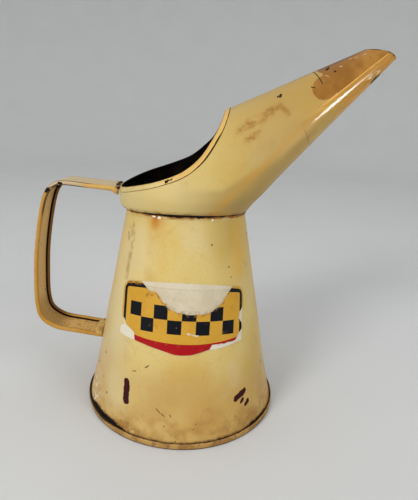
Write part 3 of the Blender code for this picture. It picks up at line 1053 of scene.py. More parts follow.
def handle_lines(look):
    """Black in the creases beside the beads, painted shade in the gaps with grime; grime at the bend's two
    kinks and along the top run's shoulder.
    """
    bead = look.bead
    # black in the gap between web and bead: painted shade, with grime
    crease = look.side.ease(0.0082, 0.0088) * look.side.ease(0.0102, 0.0097)
    crease = crease * look.inner * look.out.ease(-0.0020, -0.0016)
    look.paint(crease * look.ragged.ease(0.14, 0.28), GRIME, 0.7)
    near_line = bead * look.y.ease(-0.004, -0.008) * look.out.ease(-0.0018, -0.0026)
    corner = look.z.ease(0.1230, 0.1340) * look.z.ease(0.1470, 0.1440)
    look.paint(near_line * corner * 0.8, srgb(48, 32, 24), 0.6)
    fine = look.noise(520.0, 3.0, (0.0, 0.2, 0.0))
    kinks = look.spots(HANDLE_KINKS) + (fine - 0.5) * 2.4
    look.paint(kinks.ease(1.0, 0.8) * bead, GRIME, 0.7)
    between_kinks = look.bar((-0.0885, 0.1458), (-0.0797, 0.1502), 0.0002)
    look.paint(between_kinks.ease(0.0004, 0.0) * bead * 0.8, GRIME, 0.7)
    shoulder = (look.side - 0.0108).size().ease(0.0006, 0.0002) * look.out.ease(-0.0008, -0.0004)
    long_marks = look.noise(240.0, 3.0, stretch=(0.25, 1.0, 1.0)).ease(0.38, 0.50)
    fading = look.z.ease(0.1380, 0.1430) * look.x.ease(-0.056, -0.064)
    look.paint(shoulder * long_marks * fading, srgb(48, 34, 22), 0.6)


def handle_enamel():
    """The strap: dusty on top, tanned and speckled inside with a painted shadow in the bend, amber on its
    beads with painted shade on parts of them, grime and painted shade in the folds.
    """
    look = enamel("handle_enamel")
    across, look.out, _ = look.own_places()
    look.side = across.size()
    look.ragged = look.noise(300.0, 4.0, twist=0.4)
    look.inner = look.out.ease(-0.0002, -0.0004)
    look.bead = look.side.ease(0.0090, 0.0096).at_least(look.out.ease(-0.0010, -0.0014))
    look.top = look.z.ease(0.1440, 0.1480)
    look.paint(look.top * 0.85, DUST, 0.55)
    handle_web(look)
    handle_beads(look)
    handle_lines(look)
    return look.finish(orange_peel(look), 0.000016)


def oily_inside():
    """Bare metal under old black oil."""
    look = Look("oily_inside", srgb(20, 16, 12))
    tone = look.noise(70.0, 4.0)
    look.roughness = tone * 0.3 + 0.35
    look.paint(tone.ease(0.45, 0.75) * 0.8, srgb(44, 35, 24))
    look.paint(look.noise(420.0, 3.0).ease(0.60, 0.75) * 0.5, srgb(70, 54, 34))
    return look.finish(look.noise(300.0, 3.0), 0.00003)


def old_solder():
    """Lumpy solder, half painted over, rusty in its hollows."""
    look = Look("old_solder", srgb(198, 164, 98))
    ragged = look.noise(330.0, 4.0, twist=0.6)
    cloud = look.noise(120.0, 4.0)
    look.roughness = ragged * 0.3 + 0.25
    look.paint(cloud.ease(0.50, 0.66) * 0.55, srgb(156, 104, 46), 0.5)
    look.paint(ragged.ease(0.58, 0.66) * 0.7, srgb(78, 48, 24), 0.7)
    look.paint(look.dots(420.0, 0.30, 0.55), PITS, 0.7)
    look.paint(look.z.ease(0.1484, 0.1492) * 0.9, srgb(40, 26, 16), 0.7)
    return look.finish(ragged + look.noise(900.0, 2.0) * 0.5, 0.00010)


def neck_shade_and_grime(bearing, cloud):
    """How strong the black under the collar is, painted shade with grime: most in front, weaker towards
    both ends.
    """
    front = bearing.ease(-0.85, -0.35) * bearing.ease(0.95, 0.70)
    return front.at_least(cloud.ease(0.50, 0.62) * 0.8)


def neck_finish():
    """Solder under the collar: black in the gap, painted shade with grime; rusty below it; with painted
    highlights on it.
    """
    look = enamel("neck_solder")
    ragged = look.noise(300.0, 4.0, twist=0.6)
    cloud = look.noise(90.0, 4.0)
    bearing = look.bearing()
    below = under_collar(look) - COLLAR_EDGE_Z
    look.plane = (bearing, below)
    upper = (below + (ragged - 0.5) * 0.0020).ease(-0.0022, -0.0010)
    look.paint(upper * (cloud * 0.6 + 0.2), srgb(196, 152, 76))
    look.paint(upper * cloud.ease(0.50, 0.64) * 0.8, RUST, 0.5)
    look.paint(upper * ragged.ease(0.56, 0.66) * 0.7, srgb(84, 46, 20), 0.7)
    seam_shade_and_grime = neck_shade_and_grime(bearing, cloud)
    wide = seam_shade_and_grime * bearing.ease(0.65, 0.25).at_least(0.3) * 0.0008
    gap = below + (ragged - 0.5) * 0.0022 + wide
    look.paint(gap.ease(-0.0022, -0.0008) * cloud.ease(0.36, 0.58) * 0.85, srgb(150, 86, 26), 0.6)
    # black under the collar's edge: painted shade in the gap, with grime
    look.paint(gap.ease(-0.0008, -0.0001), GRIME, 0.7)
    rusty = look.spot((radians(-22.0), -0.0026), (0.125, 0.0024)) + (ragged - 0.5) * 0.8
    look.paint(rusty.ease(1.1, 0.4) * 0.8, srgb(184, 112, 22), 0.5)
    # painted highlights: bright glossy spots where lamps would glint on the solder
    glints = look.spots(NECK_GLINTS) + (ragged - 0.5) * 1.2
    look.paint(glints.ease(1.0, 0.8), srgb(240, 236, 226), 0.15)
    return look.finish(ragged, 0.00008)


def bare_paper():
    """The label's torn paper: grey-white fibres, a clean folded strip on top, tea-brown stains."""
    look = Look("bare_paper", WHITE_PAPER)
    across, up, _ = look.own_places()
    fibre = look.noise(900.0, 3.0, stretch=(1.0, 1.0, 0.35))
    cloud = look.noise(95.0, 4.0, twist=0.5)
    ragged = look.noise(400.0, 3.0)
    look.roughness = fibre * 0.2 + 0.7
    look.shader.inputs["Specular IOR Level"].default_value = 0.10
    look.paint(cloud.ease(0.35, 0.65) * 0.55, srgb(192, 176, 144))
    look.paint(fibre.ease(0.50, 0.75) * 0.25, srgb(170, 152, 120))
    strip = (up + (ragged - 0.5) * 0.0006).ease(0.0178, 0.0183)
    look.paint(strip * 0.25, CLEAN_PAPER)
    crease = (up - 0.0179).size().ease(0.0006, 0.0001)
    look.paint(crease * ragged.ease(0.35, 0.55) * 0.35, srgb(166, 148, 118))
    edge = up.ease(0.000, -0.006) + across.size().ease(0.033, 0.037)
    look.paint(edge.at_most(1.0) * (cloud * 0.4 + 0.6), srgb(220, 212, 194))
    bowl = bowl_height(across)
    ring = (up - bowl).size().ease(0.0030, 0.0) * up.ease(0.0150, 0.0135)
    look.paint(ring * ragged.ease(0.40, 0.62) * 0.55, srgb(150, 116, 70))
    return look.finish(fibre + cloud * 2.0, 0.00005)


def bowl_height(across):
    """Height of the label's big torn edge on its pattern; across may be a number or a Value."""
    turn = (across - TEAR_MIDDLE) / TEAR_HALF
    away = turn.size() if isinstance(turn, Value) else abs(turn)
    return away * away * away * TEAR_RISE + TEAR_LOW


def label_print():
    """A plain printed design: navy frame, two rows of navy checks on amber and a red foot, rubbed."""
    look = Look("label_print", INK_AMBER)
    across, up, inside = look.own_places()
    look.plane = (across, up)
    ragged = look.noise(420.0, 3.0)
    cloud = look.noise(85.0, 4.0)
    bowl = bowl_height(across)
    look.shader.inputs["Specular IOR Level"].default_value = 0.12
    look.roughness = cloud * 0.15 + 0.42
    look.paint(cloud.ease(0.40, 0.70) * 0.45, srgb(190, 134, 38))
    columns = (across / CHECK_SIZE * pi).wave()
    rows = ((up - CHECK_MIDDLE) / CHECK_SIZE * pi).wave()
    field = (up - CHECK_MIDDLE).size().ease(CHECK_SIZE + 0.00010, CHECK_SIZE - 0.00010)
    field = field * across.size().ease(4 * CHECK_SIZE + 0.0001, 4 * CHECK_SIZE - 0.0001)
    look.paint((columns * rows).ease(-0.02, 0.02) * field, INK_NAVY)
    foot = (up - across * across * FOOT_BOW).ease(FOOT_TOP + 0.0001, FOOT_TOP - 0.0001)
    look.paint(foot, INK_RED)
    wider = up.ease(0.0155, 0.0175) * FRAME_TOP_EXTRA
    frame_line = (inside - wider - FRAME_INSET).size() - wider
    look.paint(frame_line.ease(FRAME_HALF + 0.00012, FRAME_HALF - 0.00012), INK_NAVY)
    corner = look.spot((-0.0340, 0.0190), (0.0085, 0.0014)).ease(1.3, 0.5)
    look.paint(corner * ragged.ease(0.36, 0.52) * 0.8, BROWN, 0.6)
    edge_stain = look.spot((-0.0205, 0.0128), (0.0030, 0.0020)).ease(1.2, 0.4)
    look.paint(edge_stain * ragged.ease(0.40, 0.55) * 0.8, BROWN, 0.6)
    look.paint(look.noise(240.0, 4.0, (0.3, 0.3, 0.3)).ease(0.62, 0.72) * 0.35, srgb(150, 104, 44))
    worn = (up - bowl).ease(-0.0022, -0.0002) * ragged.ease(0.46, 0.60)
    look.paint(worn * 0.8, srgb(150, 108, 56), 0.7)
    scratch = look.bar((0.0040, -0.0084), (0.0098, -0.0095), 0.0003) + (ragged - 0.5) * 0.0026
    look.paint(scratch.ease(0.0003, 0.0), WHITE_PAPER, 0.7)
    look.paint(look.dots(300.0, 0.12, 0.16), srgb(206, 190, 156), 0.7)
    look.paint(inside.ease(0.0008, 0.0) * ragged.ease(0.50, 0.62) * 0.7, srgb(170, 128, 66), 0.7)
    return look.finish(cloud + ragged * 0.5, 0.00004)


def dull_wire():
    look = Look("edge_wire", srgb(120, 116, 108))
    tone = look.noise(400.0, 3.0)
    look.shader.inputs["Metallic"].default_value = 1.0
    look.roughness = tone * 0.3 + 0.35
    look.paint(tone.ease(0.45, 0.65) * 0.8, srgb(92, 70, 48), 0.7)
    return look.finish(tone, 0.00002)


# Pieces

def turned_piece(name, profile, material, replaced, shape):
    """A closed profile (radius, z) turned about Z; shape(bearing, radius, z) moves its points."""
    points = []
    for i in range(ROUND_STEPS):
        bearing = 2 * pi * i / ROUND_STEPS
        for r, z in profile:
            r, z = shape(bearing, r, z)
            points.append((r * sin(bearing), -r * cos(bearing), z))
    faces = grid_faces(ROUND_STEPS, len(profile), True, True)
    return add_piece(name, points, faces, material, replaced, weld=True)


def body_profile():
    outer = []
    for i in range(BODY_ROWS + 1):
        top = BODY_TOP + NECK_LIFT
        z = top + (BODY_BOTTOM - top) * i / BODY_ROWS
        outer.append((body_radius(z), z))
    inner = [(r - SHEET, z) for r, z in reversed(outer)]
    return outer + inner


def body_shape(bearing, r, z):
    """Hand-made sheet: broad shallow dents and a slight flare at the foot."""
    around = (sin(bearing) * 0.05, cos(bearing) * 0.05, z)
    fade = min(1.0, (z - BODY_BOTTOM) / DENT_FADE) * min(1.0, max(0.0, (DENT_TOP - z) / DENT_FADE))
    dent = DENT_DEPTH * rough(*around, DENT_SCALE) * fade
    flare = FLARE * np.exp(-(z - BODY_BOTTOM) / FLARE_FADE)
    return r + dent + flare, z


def make_body(oil):
    finish = body_enamel()
    body = turned_piece("body_sheet", body_profile(), finish, ("body_cone",), body_shape)
    line_inside(body, oil, lambda face: face.normal.xy.dot(face.center.xy) < 0)


def base_profile():
    """The base disc and its folded rim, from the middle of the floor inside round to underneath."""
    inner = RIM_RADIUS - RIM_WIDTH
    half = RIM_WIDTH / 2
    profile = [(0.0, SHEET), (inner * 0.5, SHEET), (inner - RIM_ROUND, SHEET), (inner, SHEET + RIM_ROUND)]
    for i in range(9):
        turn = pi - pi * i / 8
        profile.append((RIM_RADIUS - half + half * cos(turn), RIM_HEIGHT - half + half * sin(turn)))
    profile += [(RIM_RADIUS - inset, z) for inset, z in RIM_SIDE]
    for i in range(5):
        turn = -pi / 2 * i / 4
        out = (RIM_ROUND - RIM_TUCK) * cos(turn)
        profile.append((RIM_RADIUS - RIM_ROUND + out, RIM_ROUND + RIM_ROUND * sin(turn)))
    profile += [(inner * 0.9, 0.0), (inner * 0.5, 0.0), (0.0, 0.0)]
    return profile


def base_shape(bearing, r, z):
    """The rim's fold is slightly uneven."""
    if r < RIM_RADIUS - RIM_WIDTH - RIM_TUCK or z < 0.0005:
        return r, z
    around = (sin(bearing) * 0.06, cos(bearing) * 0.06, 0.0)
    lift = sum(height * rough(*around, scale) for height, scale in RIM_WAVES)
    return r, z + lift * z / RIM_HEIGHT


def make_base(oil):
    finish = base_enamel()
    base = turned_piece("base_pan", base_profile(), finish, ("base_plate",), base_shape)
    floor = RIM_RADIUS - RIM_WIDTH
    line_inside(base, oil, lambda face: face.normal.z > 0.5 and face.center.xy.length < floor)


def make_side_seam(material):
    """The body sheet's locked seam: a low flat strip down the back, behind the handle."""
    frames = []
    across = Vector((0.0, 1.0, 0.0))
    outward = Vector((-1.0, 0.0, TAPER)).normalized()
    for i in range(SEAM_STEPS + 1):
        z = SEAM_BOTTOM + (SEAM_TOP - SEAM_BOTTOM) * i / SEAM_STEPS
        r, z = body_shape(-pi / 2, body_radius(z), z)
        frames.append((Vector((-r, 0.0, z)), across, outward))
    section = [(SEAM_WIDTH / 2, -SEAM_SINK)]
    for i in range(13):
        turn = pi * i / 12
        section.append((cos(turn) * SEAM_WIDTH / 2, SEAM_HEIGHT * sin(turn) ** SEAM_SQUARE - SEAM_SINK / 2))
    section.append((-SEAM_WIDTH / 2, -SEAM_SINK))
    faces = capped_faces(len(frames), len(section))
    add_piece("side_seam", sweep(frames, section), faces, material)


def hood_sections():
    """(front, back, half width, squareness, share of the spout) of each ring, collar to tip."""
    sections = []
    for i in range(COLLAR_RINGS + 1):
        t = i / COLLAR_RINGS
        out = sin(t * pi / 2) ** CURL_POWER
        rise = 1 - max(cos(t * pi / 2), 0.0) ** CURL_POWER
        radius = COLLAR_EDGE_RADIUS + (COLLAR_RADIUS - COLLAR_EDGE_RADIUS) * out
        back = (-radius, COLLAR_EDGE_Z + CURL_HEIGHT * rise)
        front = between((COLLAR_EDGE_RADIUS, COLLAR_EDGE_Z), BELLY_START, t)
        sections.append((front, back, radius, 0.0, 0.0))
    front, back, radius = sections[-1][:3]
    for i in range(1, WALL_RINGS):
        t = i / WALL_RINGS
        sections.append((between(front, FAN_FRONT, t), between(back, COLLAR_BACK_TOP, t), radius, 0.0, 0.0))
    for i in range(FAN_RINGS + 1):
        t = i / FAN_RINGS
        rise = between(COLLAR_BACK_TOP, HOOD_BACK_GUIDE, t)
        back = between(rise, between(HOOD_BACK_GUIDE, THROAT_CREST, t), t)
        width = COLLAR_RADIUS + (THROAT_HALF_WIDTH - COLLAR_RADIUS) * t ** NARROWING
        sections.append((between(FAN_FRONT, THROAT_BELLY, t), back, width, SQUARENESS * sin(pi * t), 0.0))
    for i in range(1, SPOUT_RINGS + 1):
        t = i / SPOUT_RINGS
        width = THROAT_HALF_WIDTH + (TIP_HALF_WIDTH - THROAT_HALF_WIDTH) * t
        back = between(THROAT_CREST, TIP_CREST, t)
        sections.append((between(THROAT_BELLY, TIP_LIP, t), back, width, 0.0, t))
    return sections


def hood_points():
    """The hood's outer skin as a grid: rows from collar to tip, columns round each section.

    Each point holds x, y, z, its share of the way from crest to lip and its share of the spout.
    """
    sections = hood_sections()
    along = (Vector(SPOUT_END) - Vector(SPOUT_START)).normalized()
    angle = np.arange(HOOD_POINTS) * 2 * pi / HOOD_POINTS
    rows = []
    for i, (front, back, width, squareness, spout) in enumerate(sections):
        power = 2 / (2 + squareness)
        across = np.abs(np.sin(angle)) ** power
        forward = np.sign(np.cos(angle)) * np.abs(np.cos(angle)) ** power
        t = (1 + forward) / 2
        away = np.where(t < FOLD_SHARE, (FOLD_SHARE - t) / FOLD_SHARE, (t - FOLD_SHARE) / (1 - FOLD_SHARE))
        fold = FOLD_DEPTH * min(1.0, max(0.0, (spout - FOLD_START) / FOLD_RUN))
        across = across * (1 - fold) + np.sqrt(np.maximum(1 - away, 0.0)) * fold
        tip = max(0.0, 1 - (len(sections) - 1 - i) / TIP_RINGS) ** 2
        reach = TIP_BULGE * tip * np.sin(angle) ** 2
        x = back[0] + (front[0] - back[0]) * t + along.x * reach
        y = width * across * np.sign(np.sin(angle))
        z = back[1] + (front[1] - back[1]) * t + along.y * reach
        fade = np.clip(1 - (z - COLLAR_EDGE_Z) / NECK_FADE, 0.0, 1.0)
        z = z + neck_lift(y, width) * fade
        rows.append(np.stack([x, y, z, t, np.full_like(t, spout)], axis=1))
    grid = np.array(rows)
    for _ in range(SMOOTHING):
        grid[1:-1] = (grid[:-2] + 2 * grid[1:-1] + grid[2:]) / 4
    return grid


def mouth_height(x, y):
    """Height of the mouth's edge above a point in plan."""
    line = smooth_path(MOUTH_LINE, 8)
    last = line[-1]
    slope = (last.y - line[-2].y) / (last.x - line[-2].x)
    z = np.interp(x, [p.x for p in line], [p.y for p in line])
    z = np.where(x > last.x, last.y + slope * (x - last.x), z)
    level = np.clip((x - ROLL_FADE[0]) / (ROLL_FADE[1] - ROLL_FADE[0]), 0.0, 1.0)
    return z + y * tan(MOUTH_ROLL) * (1 - level)


def make_hood(oil):
    """The hood's sheet, black inside; returns its outer skin and its mouth's edge.

    The edge is a list of (place, outward normal).
    """
    grid = hood_points()
    below = mouth_height(grid[:, :, 0], grid[:, :, 1]) - HEM_TOP - grid[:, :, 2]
    grid = np.concatenate([grid, below[:, :, None]], axis=2)
    points, faces, edge = clip_grid(grid, below, True)
    hood = add_piece("hood_sheet", points[:, :3], faces, hood_enamel(), ("hood_spout",))
    hood.data.materials.append(oil)
    note_places(hood, points[:, 3:])
    rim = [(Vector(points[i, :3]), hood.data.vertices[i].normal.copy()) for i in edge]
    sheet = thicken(hood, SHEET)
    sheet.material_offset = 1
    sheet.material_offset_rim = 0
    return BVHTree.FromPolygons([Vector(p) for p in points[:, :3]], faces), rim


def even_rim(rim):
    """The mouth's edge as evenly spaced (place, outward normal), in order round the mouth."""
    def turn(entry):
        return atan2(entry[0].y - MOUTH_MIDDLE[1], entry[0].x - MOUTH_MIDDLE[0])
    rim = sorted(rim, key=turn)
    places = np.array([p for p, _ in rim])
    normals = np.array([n for _, n in rim])
    closed = np.vstack([places, places[:1]])
    run = np.concatenate([[0.0], np.cumsum(np.linalg.norm(np.diff(closed, axis=0), axis=1))])
    wanted = np.arange(HEM_STEPS) * run[-1] / HEM_STEPS
    facing = np.vstack([normals, normals[:1]])
    place = np.stack([np.interp(wanted, run, closed[:, k]) for k in range(3)], axis=1)
    normal = np.stack([np.interp(wanted, run, facing[:, k]) for k in range(3)], axis=1)
    for _ in range(3):
        place = (np.roll(place, 1, 0) + 2 * place + np.roll(place, -1, 0)) / 4
        normal = (np.roll(normal, 1, 0) + 2 * normal + np.roll(normal, -1, 0)) / 4
    return [(Vector(p), Vector(n).normalized()) for p, n in zip(place, normal)]


def hem_section():
    """The folded edge as (out of the sheet, down the sheet): outer leg, round top, short inner leg."""
    out = HEM_PROUD
    back = -SHEET - HEM_SLACK
    middle = (out + back) / 2
    half = (out - back) / 2
    section = [(-HEM_EDGE, HEM_WIDTH), (out - HEM_SLACK, HEM_WIDTH), (out, HEM_WIDTH - 2 * HEM_EDGE)]
    section += [(out, HEM_LEG_MIDDLE), (out, HEM_LEG_START)]
    for i in range(9):
        turn = pi * i / 8
        section.append((middle + half * cos(turn), half * (1 - sin(turn)) - HEM_TOP))
    section += zip((back, back + HEM_EDGE, -2 * HEM_EDGE), HEM_INNER_LEG)
    return section[::-1]


def make_hem(skin, rim):
    """The folded edge round the mouth, its outer leg lying on the hood's skin."""
    rim = even_rim(rim)
    downs = []
    for i, (place, normal) in enumerate(rim):
        ahead = (rim[(i + 1) % HEM_STEPS][0] - rim[i - 1][0]).normalized()
        downs.append(normal.cross(ahead).normalized())
    sign = -1.0 if sum(down.z for down in downs) > 0 else 1.0
    frames = [(place, normal, down * sign) for (place, normal), down in zip(rim, downs)]
    section = hem_section()
    points = sweep(frames, section)
    for i, point in enumerate(points):
        out, down = section[i % len(section)]
        if down >= HEM_LEG_START:
            on_skin, facing, _, _ = skin.find_nearest(point)
            points[i] = on_skin + facing * out
    faces = grid_faces(HEM_STEPS, len(section), True, True)
    hem = add_piece("mouth_fold", points, faces, hem_enamel(), ("mouth_hem",))
    note_places(hem, [(out, down, 0.0) for _ in frames for out, down in section])


def strap_section():
    """Flat web with its two edges rolled inward into beads; (across, out)."""
    centre = STRAP_WIDTH / 2 - BEAD_RADIUS
    outer = []
    inner = []
    for i in range(BEAD_STEPS + 1):
        angle = pi / 2 - BEAD_TURN * i / BEAD_STEPS
        for radius, line in ((BEAD_RADIUS, outer), (BEAD_RADIUS - SHEET, inner)):
            line.append((centre + radius * cos(angle), radius * sin(angle) - BEAD_RADIUS))
    web = [centre * (1 - i / WEB_STEPS) for i in range(1, WEB_STEPS)]
    right = [(x, 0.0) for x in reversed(web)] + outer + inner[::-1] + [(x, -SHEET) for x in web]
    left = [(-x, y) for x, y in reversed(right)]
    return [(0.0, 0.0)] + right + [(0.0, -SHEET)] + left


def handle_frames():
    line = smooth_path(HANDLE_LINE, HANDLE_STEPS)
    frames = []
    for i, point in enumerate(line):
        ahead = heading(line, i)
        outward = Vector((ahead.y, 0.0, -ahead.x))
        frames.append((Vector((point.x, 0.0, point.y)), Vector((0.0, 1.0, 0.0)), outward))
    return frames


def bead_hook(side):
    """The bead's end by the collar, bent down like a hook."""
    across = side * (STRAP_WIDTH / 2 - BEAD_RADIUS)
    path = [Vector((x, across, z)) for x, z in smooth_path(HOOK_LINE, 5)]
    radii = []
    for i in range(len(path)):
        t = i / (len(path) - 1)
        radii.append(BEAD_RADIUS * (HOOK_THICK + HOOK_SWELL * t * t - HOOK_TAPER * t ** 14))
    return tube(path, radii)


def fit_strap_ends(points, count):
    """Carries the strap's two end rings on to the round walls they are soldered to."""
    for k in range(count):
        first = points[k]
        last = points[-1 - k]
        if abs(first.y) < HOOK_START:
            first.x = -sqrt(COLLAR_RADIUS ** 2 - first.y ** 2) - STRAP_GAP
        last.x = -sqrt(body_radius(last.z) ** 2 - last.y ** 2) + STRAP_GAP
    return points


def make_handle():
    frames = handle_frames()
    section = strap_section()
    strap = fit_strap_ends(sweep(frames, section), len(section))
    hooks = [bead_hook(side) for side in (-1.0, 1.0)]
    points, faces = join((strap, capped_faces(len(frames), len(section))), *hooks)
    handle = add_piece("handle_band", points, faces, handle_enamel(), ("handle_strap",))
    places = [(across, out, 0.0) for _ in frames for across, out in section]
    places += [(p.y, -BEAD_RADIUS, 0.0) for hook, _ in hooks for p in hook]
    note_places(handle, places)


# Label on the tapered body

def on_cone(across, up, lift):
    """A point of the label's flat pattern wrapped on the body, lift metres clear of it."""
    side = across * cos(LABEL_TILT) - up * sin(LABEL_TILT)
    rise = across * sin(LABEL_TILT) + up * cos(LABEL_TILT)
    slant = sqrt(1 + TAPER ** 2)
    apex = FOOT_RADIUS / TAPER
    middle = (apex - LABEL_MIDDLE_Z) * slant
    reach = hypot(side, middle - rise)
    bearing = LABEL_BEARING + atan2(side, middle - rise) * slant / TAPER
    z = apex - reach / slant
    radius, z = body_shape(bearing, body_radius(z), z)
    radius += lift * slant
    return (radius * sin(bearing), -radius * cos(bearing), z)


def label_sheet(name, keep, lift, curl, depth, material, replaced=()):
    """Paper where keep(across, up) is positive, depth thick below lift, its edges curled up a little."""
    columns = int((LABEL_WIDTH + LABEL_MARGIN[0]) / LABEL_CELL)
    rows = int((LABEL_HEIGHT + LABEL_MARGIN[1]) / LABEL_CELL)
    flat = np.zeros((rows, columns, 4))
    for i in range(rows):
        for j in range(columns):
            across = (j - columns / 2) * LABEL_CELL
            up = (i - rows / 2) * LABEL_CELL
            flat[i, j] = (across, up, card_depth(across, up), keep(across, up))
    places, faces, _ = clip_grid(flat, flat[:, :, 3], False)
    points = []
    for across, up, _, inside in places:
        swell = max(0.0, 0.6 + rough(across, up, 0.5, CURL_SCALE))
        swell *= np.exp(-max(inside, 0.0) / CURL_REACH)
        points.append(on_cone(across, up, lift + curl * swell))
    piece = add_piece(name, points, faces, material, replaced)
    note_places(piece, places[:, :3])
    thicken(piece, depth)


def card_top(across):
    """Height of the card's slightly arched top edge on its pattern."""
    return CARD_TOP - CARD_DROP * across ** 2


def card_depth(across, up):
    """How far inside the card's top and sides a point is; the top corners are rounded."""
    dx = abs(across - CARD_CENTRE) - (CARD_HALF - CARD_CORNER)
    dy = up - (card_top(across) - CARD_CORNER)
    outside = hypot(max(dx, 0.0), max(dy, 0.0)) + min(max(dx, dy), 0.0)
    return CARD_CORNER - outside


def tear_noise(across, up, seed):
    return sum(depth * rough(across, up, seed + step, scale) for depth, step, scale in TEAR_WAVES)


def beside(value, line, by, read):
    """Reads a broken line: the coordinate `read` where the coordinate `by` has the given value."""
    return np.interp(value, [point[by] for point in line], [point[read] for point in line])


def outside_strip(across, up):
    """How far a point is outside the strip along the top where the print has come away."""
    rise = up - STRIP_LOW - STRIP_SLOPE * across
    left = STRIP_LEFT - STRIP_FLARE * rise - across
    right = across - STRIP_RIGHT - STRIP_FLARE * rise
    return max(-rise, left, right)


def backing_keep(across, up):
    """Paper under the print, with a torn tongue past its lower left corner."""
    left = beside(up, PAPER_LEFT, 1, 0)
    right = beside(up, PAPER_RIGHT, 1, 0)
    low = beside(across, PAPER_LOW, 0, 1)
    torn = min(across - left, right - across) + tear_noise(across, up, 0.1)
    torn = min(torn, up - low)
    if up < 0:
        return torn
    tucked = TUCK if outside_strip(across, up) > 0.0005 else 0.0
    return min(torn, card_depth(across, up) - tucked)


def print_keep(across, up):
    """The printed face that is left between the tears."""
    left = beside(up, PRINT_LEFT, 1, 0)
    right = beside(up, PRINT_RIGHT, 1, 0)
    low = beside(across, PRINT_LOW, 0, 1)
    bowl = (bowl_height(across) - up) * TEAR_STEEP
    torn = min(across - left, right - across, bowl, outside_strip(across, up))
    ragged = tear_noise(across, up, 0.3)
    cut_foot = up - low + (ragged if across > TORN_FOOT else 0.0)
    return min(card_depth(across, up), cut_foot, torn + ragged)


def make_label():
    paper = (PAPER_LIFT, PAPER_CURL, PAPER_DEPTH)
    label_sheet("label_backing", backing_keep, *paper, bare_paper(), ("label",))
    face = (PRINT_LIFT, PRINT_CURL, PRINT_DEPTH)
    label_sheet("label_print", print_keep, *face, label_print())


# Solder

def neck_profile():
    top = COLLAR_EDGE_Z + NECK_RISE
    outer = []
    for i in range(9):
        t = i / 8
        z = top - NECK_DROP * t
        outer.append((body_radius(z) + NECK_THICK * (1 - t) ** NECK_HOLLOW + NECK_CLEAR, z))
    return outer + [(body_radius(z) - NECK_SINK, z) for _, z in reversed(outer)]


def neck_shape(bearing, r, z):
    """The fillet was wiped by hand, so it swells and thins."""
    lift = neck_lift(cos(bearing), 1.0)
    if r > body_radius(z):
        around = (sin(bearing) * 0.04, cos(bearing) * 0.04, 0.0)
        swell = 0.6 + sum(share * rough(*around, scale) for share, scale in NECK_LUMPS)
        r += NECK_SWELL * max(0.0, swell) * (z - COLLAR_EDGE_Z + NECK_DROP - NECK_RISE) / NECK_DROP
    return r - TAPER * lift, z + lift


def make_neck():
    turned_piece("neck_fillet", neck_profile(), neck_finish(), ("neck_solder",), neck_shape)


def lump(centre, radii, seed, steps=24):
    """A lumpy rounded block of solder as points and faces."""
    points = []
    for i in range(steps + 1):
        tilt = -pi / 2 + pi * i / steps
        for j in range(2 * steps):
            turn = pi * j / steps
            p = [cos(tilt) * cos(turn), cos(tilt) * sin(turn), sin(tilt)]
            p = [np.sign(v) * abs(v) ** LUMP_SQUARE for v in p]
            grow = 1 + LUMP_COARSE[0] * rough(p[0] + seed, p[1], p[2], LUMP_COARSE[1])
            grow += LUMP_FINE[0] * rough(p[0], p[1] + seed, p[2], LUMP_FINE[1])
            points.append([c + v * r * grow for c, v, r in zip(centre, p, radii)])
    return points, grid_faces(steps + 1, 2 * steps, False, True)


def make_solder(name, lumps, material, replaced):
    points, faces = join(*(lump(centre, radii, seed) for seed, (centre, radii) in enumerate(lumps)))
    add_piece(name, points, faces, material, (replaced,), weld=True)


OIL = oily_inside()
make_body(OIL)
make_side_seam(bpy.data.materials["body_enamel"])
make_base(OIL)
make_hem(*make_hood(OIL))
make_neck()
make_handle()
SOLDER = old_solder()
make_solder("handle_top_joint", TOP_SOLDER, SOLDER, "handle_top_solder")
make_solder("handle_foot_joint", FOOT_SOLDER, SOLDER, "handle_foot_solder")
make_label()
WIRE = dull_wire()
for side in ("left", "right"):
    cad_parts["handle_wire_" + side].data.materials[0] = WIRE


# Stage, light and camera

def floor_finish():
    look = Look("pale_floor", srgb(206, 206, 204))
    tone = look.noise(9.0, 4.0)
    look.roughness = tone * 0.1 + 0.6
    look.paint(tone, srgb(213, 213, 212))
    return look.finish()


def make_floor():
    finish = floor_finish()
    mesh = bpy.data.meshes.new("floor")
    profile = [(r, 0.0) for r in FLOOR_RINGS]
    for i in range(1, 13):
        turn = pi / 2 * i / 12
        profile.append((FLOOR_RINGS[-1] + FLOOR_BEND * sin(turn), FLOOR_BEND - FLOOR_BEND * cos(turn)))
    profile.append((FLOOR_RINGS[-1] + FLOOR_BEND, WALL_TOP))
    turns = [-2 * pi * i / FLOOR_STEPS for i in range(FLOOR_STEPS)]
    points = [(r * cos(turn), r * sin(turn), z) for r, z in profile for turn in turns]
    middle = tuple(reversed(range(FLOOR_STEPS)))
    mesh.from_pydata(points, [], grid_faces(len(profile), FLOOR_STEPS, False, True) + [middle])
    mesh.shade_smooth()
    mesh.materials.append(finish)
    floor = bpy.data.objects.new("floor", mesh)
    bpy.context.scene.collection.objects.link(floor)


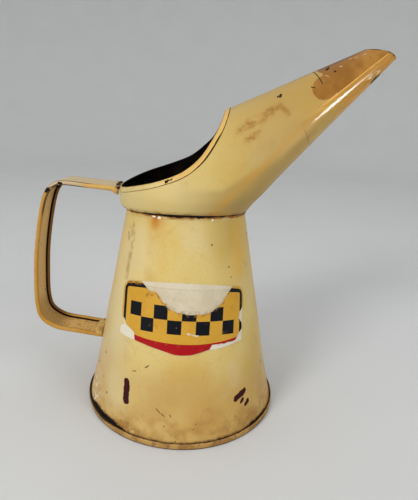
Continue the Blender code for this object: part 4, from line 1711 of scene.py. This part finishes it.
def add_lamp(name, place, target, size, watts, degrees):
    """A rectangular lamp at a place, facing a target, with a beam some degrees wide."""
    data = bpy.data.lights.new(name, "AREA")
    data.shape = "RECTANGLE"
    data.size, data.size_y = size
    data.energy = watts
    data.spread = radians(degrees)
    lamp = bpy.data.objects.new(name, data)
    lamp.location = place
    lamp.visible_camera = False
    lamp.rotation_euler = (Vector(target) - Vector(place)).to_track_quat("-Z", "Y").to_euler()
    bpy.context.scene.collection.objects.link(lamp)


def make_light():
    world = bpy.data.worlds.new("studio")
    world.use_nodes = True
    background = world.node_tree.nodes["Background"]
    background.inputs["Color"].default_value = SKY
    background.inputs["Strength"].default_value = SKY_STRENGTH
    bpy.context.scene.world = world
    for lamp in LAMPS:
        add_lamp(*lamp)


def make_camera():
    data = bpy.data.cameras.new("camera")
    data.sensor_width = 36.0
    data.lens = FOCAL_PIXELS * data.sensor_width / IMAGE_HEIGHT
    data.shift_x = (IMAGE_WIDTH / 2 - PRINCIPAL_POINT[0]) / IMAGE_HEIGHT
    data.shift_y = (PRINCIPAL_POINT[1] - IMAGE_HEIGHT / 2) / IMAGE_HEIGHT
    data.clip_start = 0.01
    turn = CAMERA_YAW - CAMERA_BEARING
    forward = Vector((sin(turn) * cos(CAMERA_PITCH), cos(turn) * cos(CAMERA_PITCH), sin(CAMERA_PITCH)))
    right = Vector((cos(turn), -sin(turn), 0.0))
    up = right.cross(forward)
    rolled = cos(CAMERA_ROLL) * right + sin(CAMERA_ROLL) * up
    upright = cos(CAMERA_ROLL) * up - sin(CAMERA_ROLL) * right
    axes = Matrix((rolled, upright, -forward)).transposed().to_4x4()
    place = (CAMERA_DISTANCE * sin(CAMERA_BEARING), -CAMERA_DISTANCE * cos(CAMERA_BEARING), CAMERA_HEIGHT)
    camera = bpy.data.objects.new("camera", data)
    camera.matrix_world = Matrix.Translation(place) @ axes
    bpy.context.scene.collection.objects.link(camera)
    bpy.context.scene.camera = camera


make_floor()
make_light()
make_camera()
bpy.context.scene.view_settings.view_transform = "Standard"
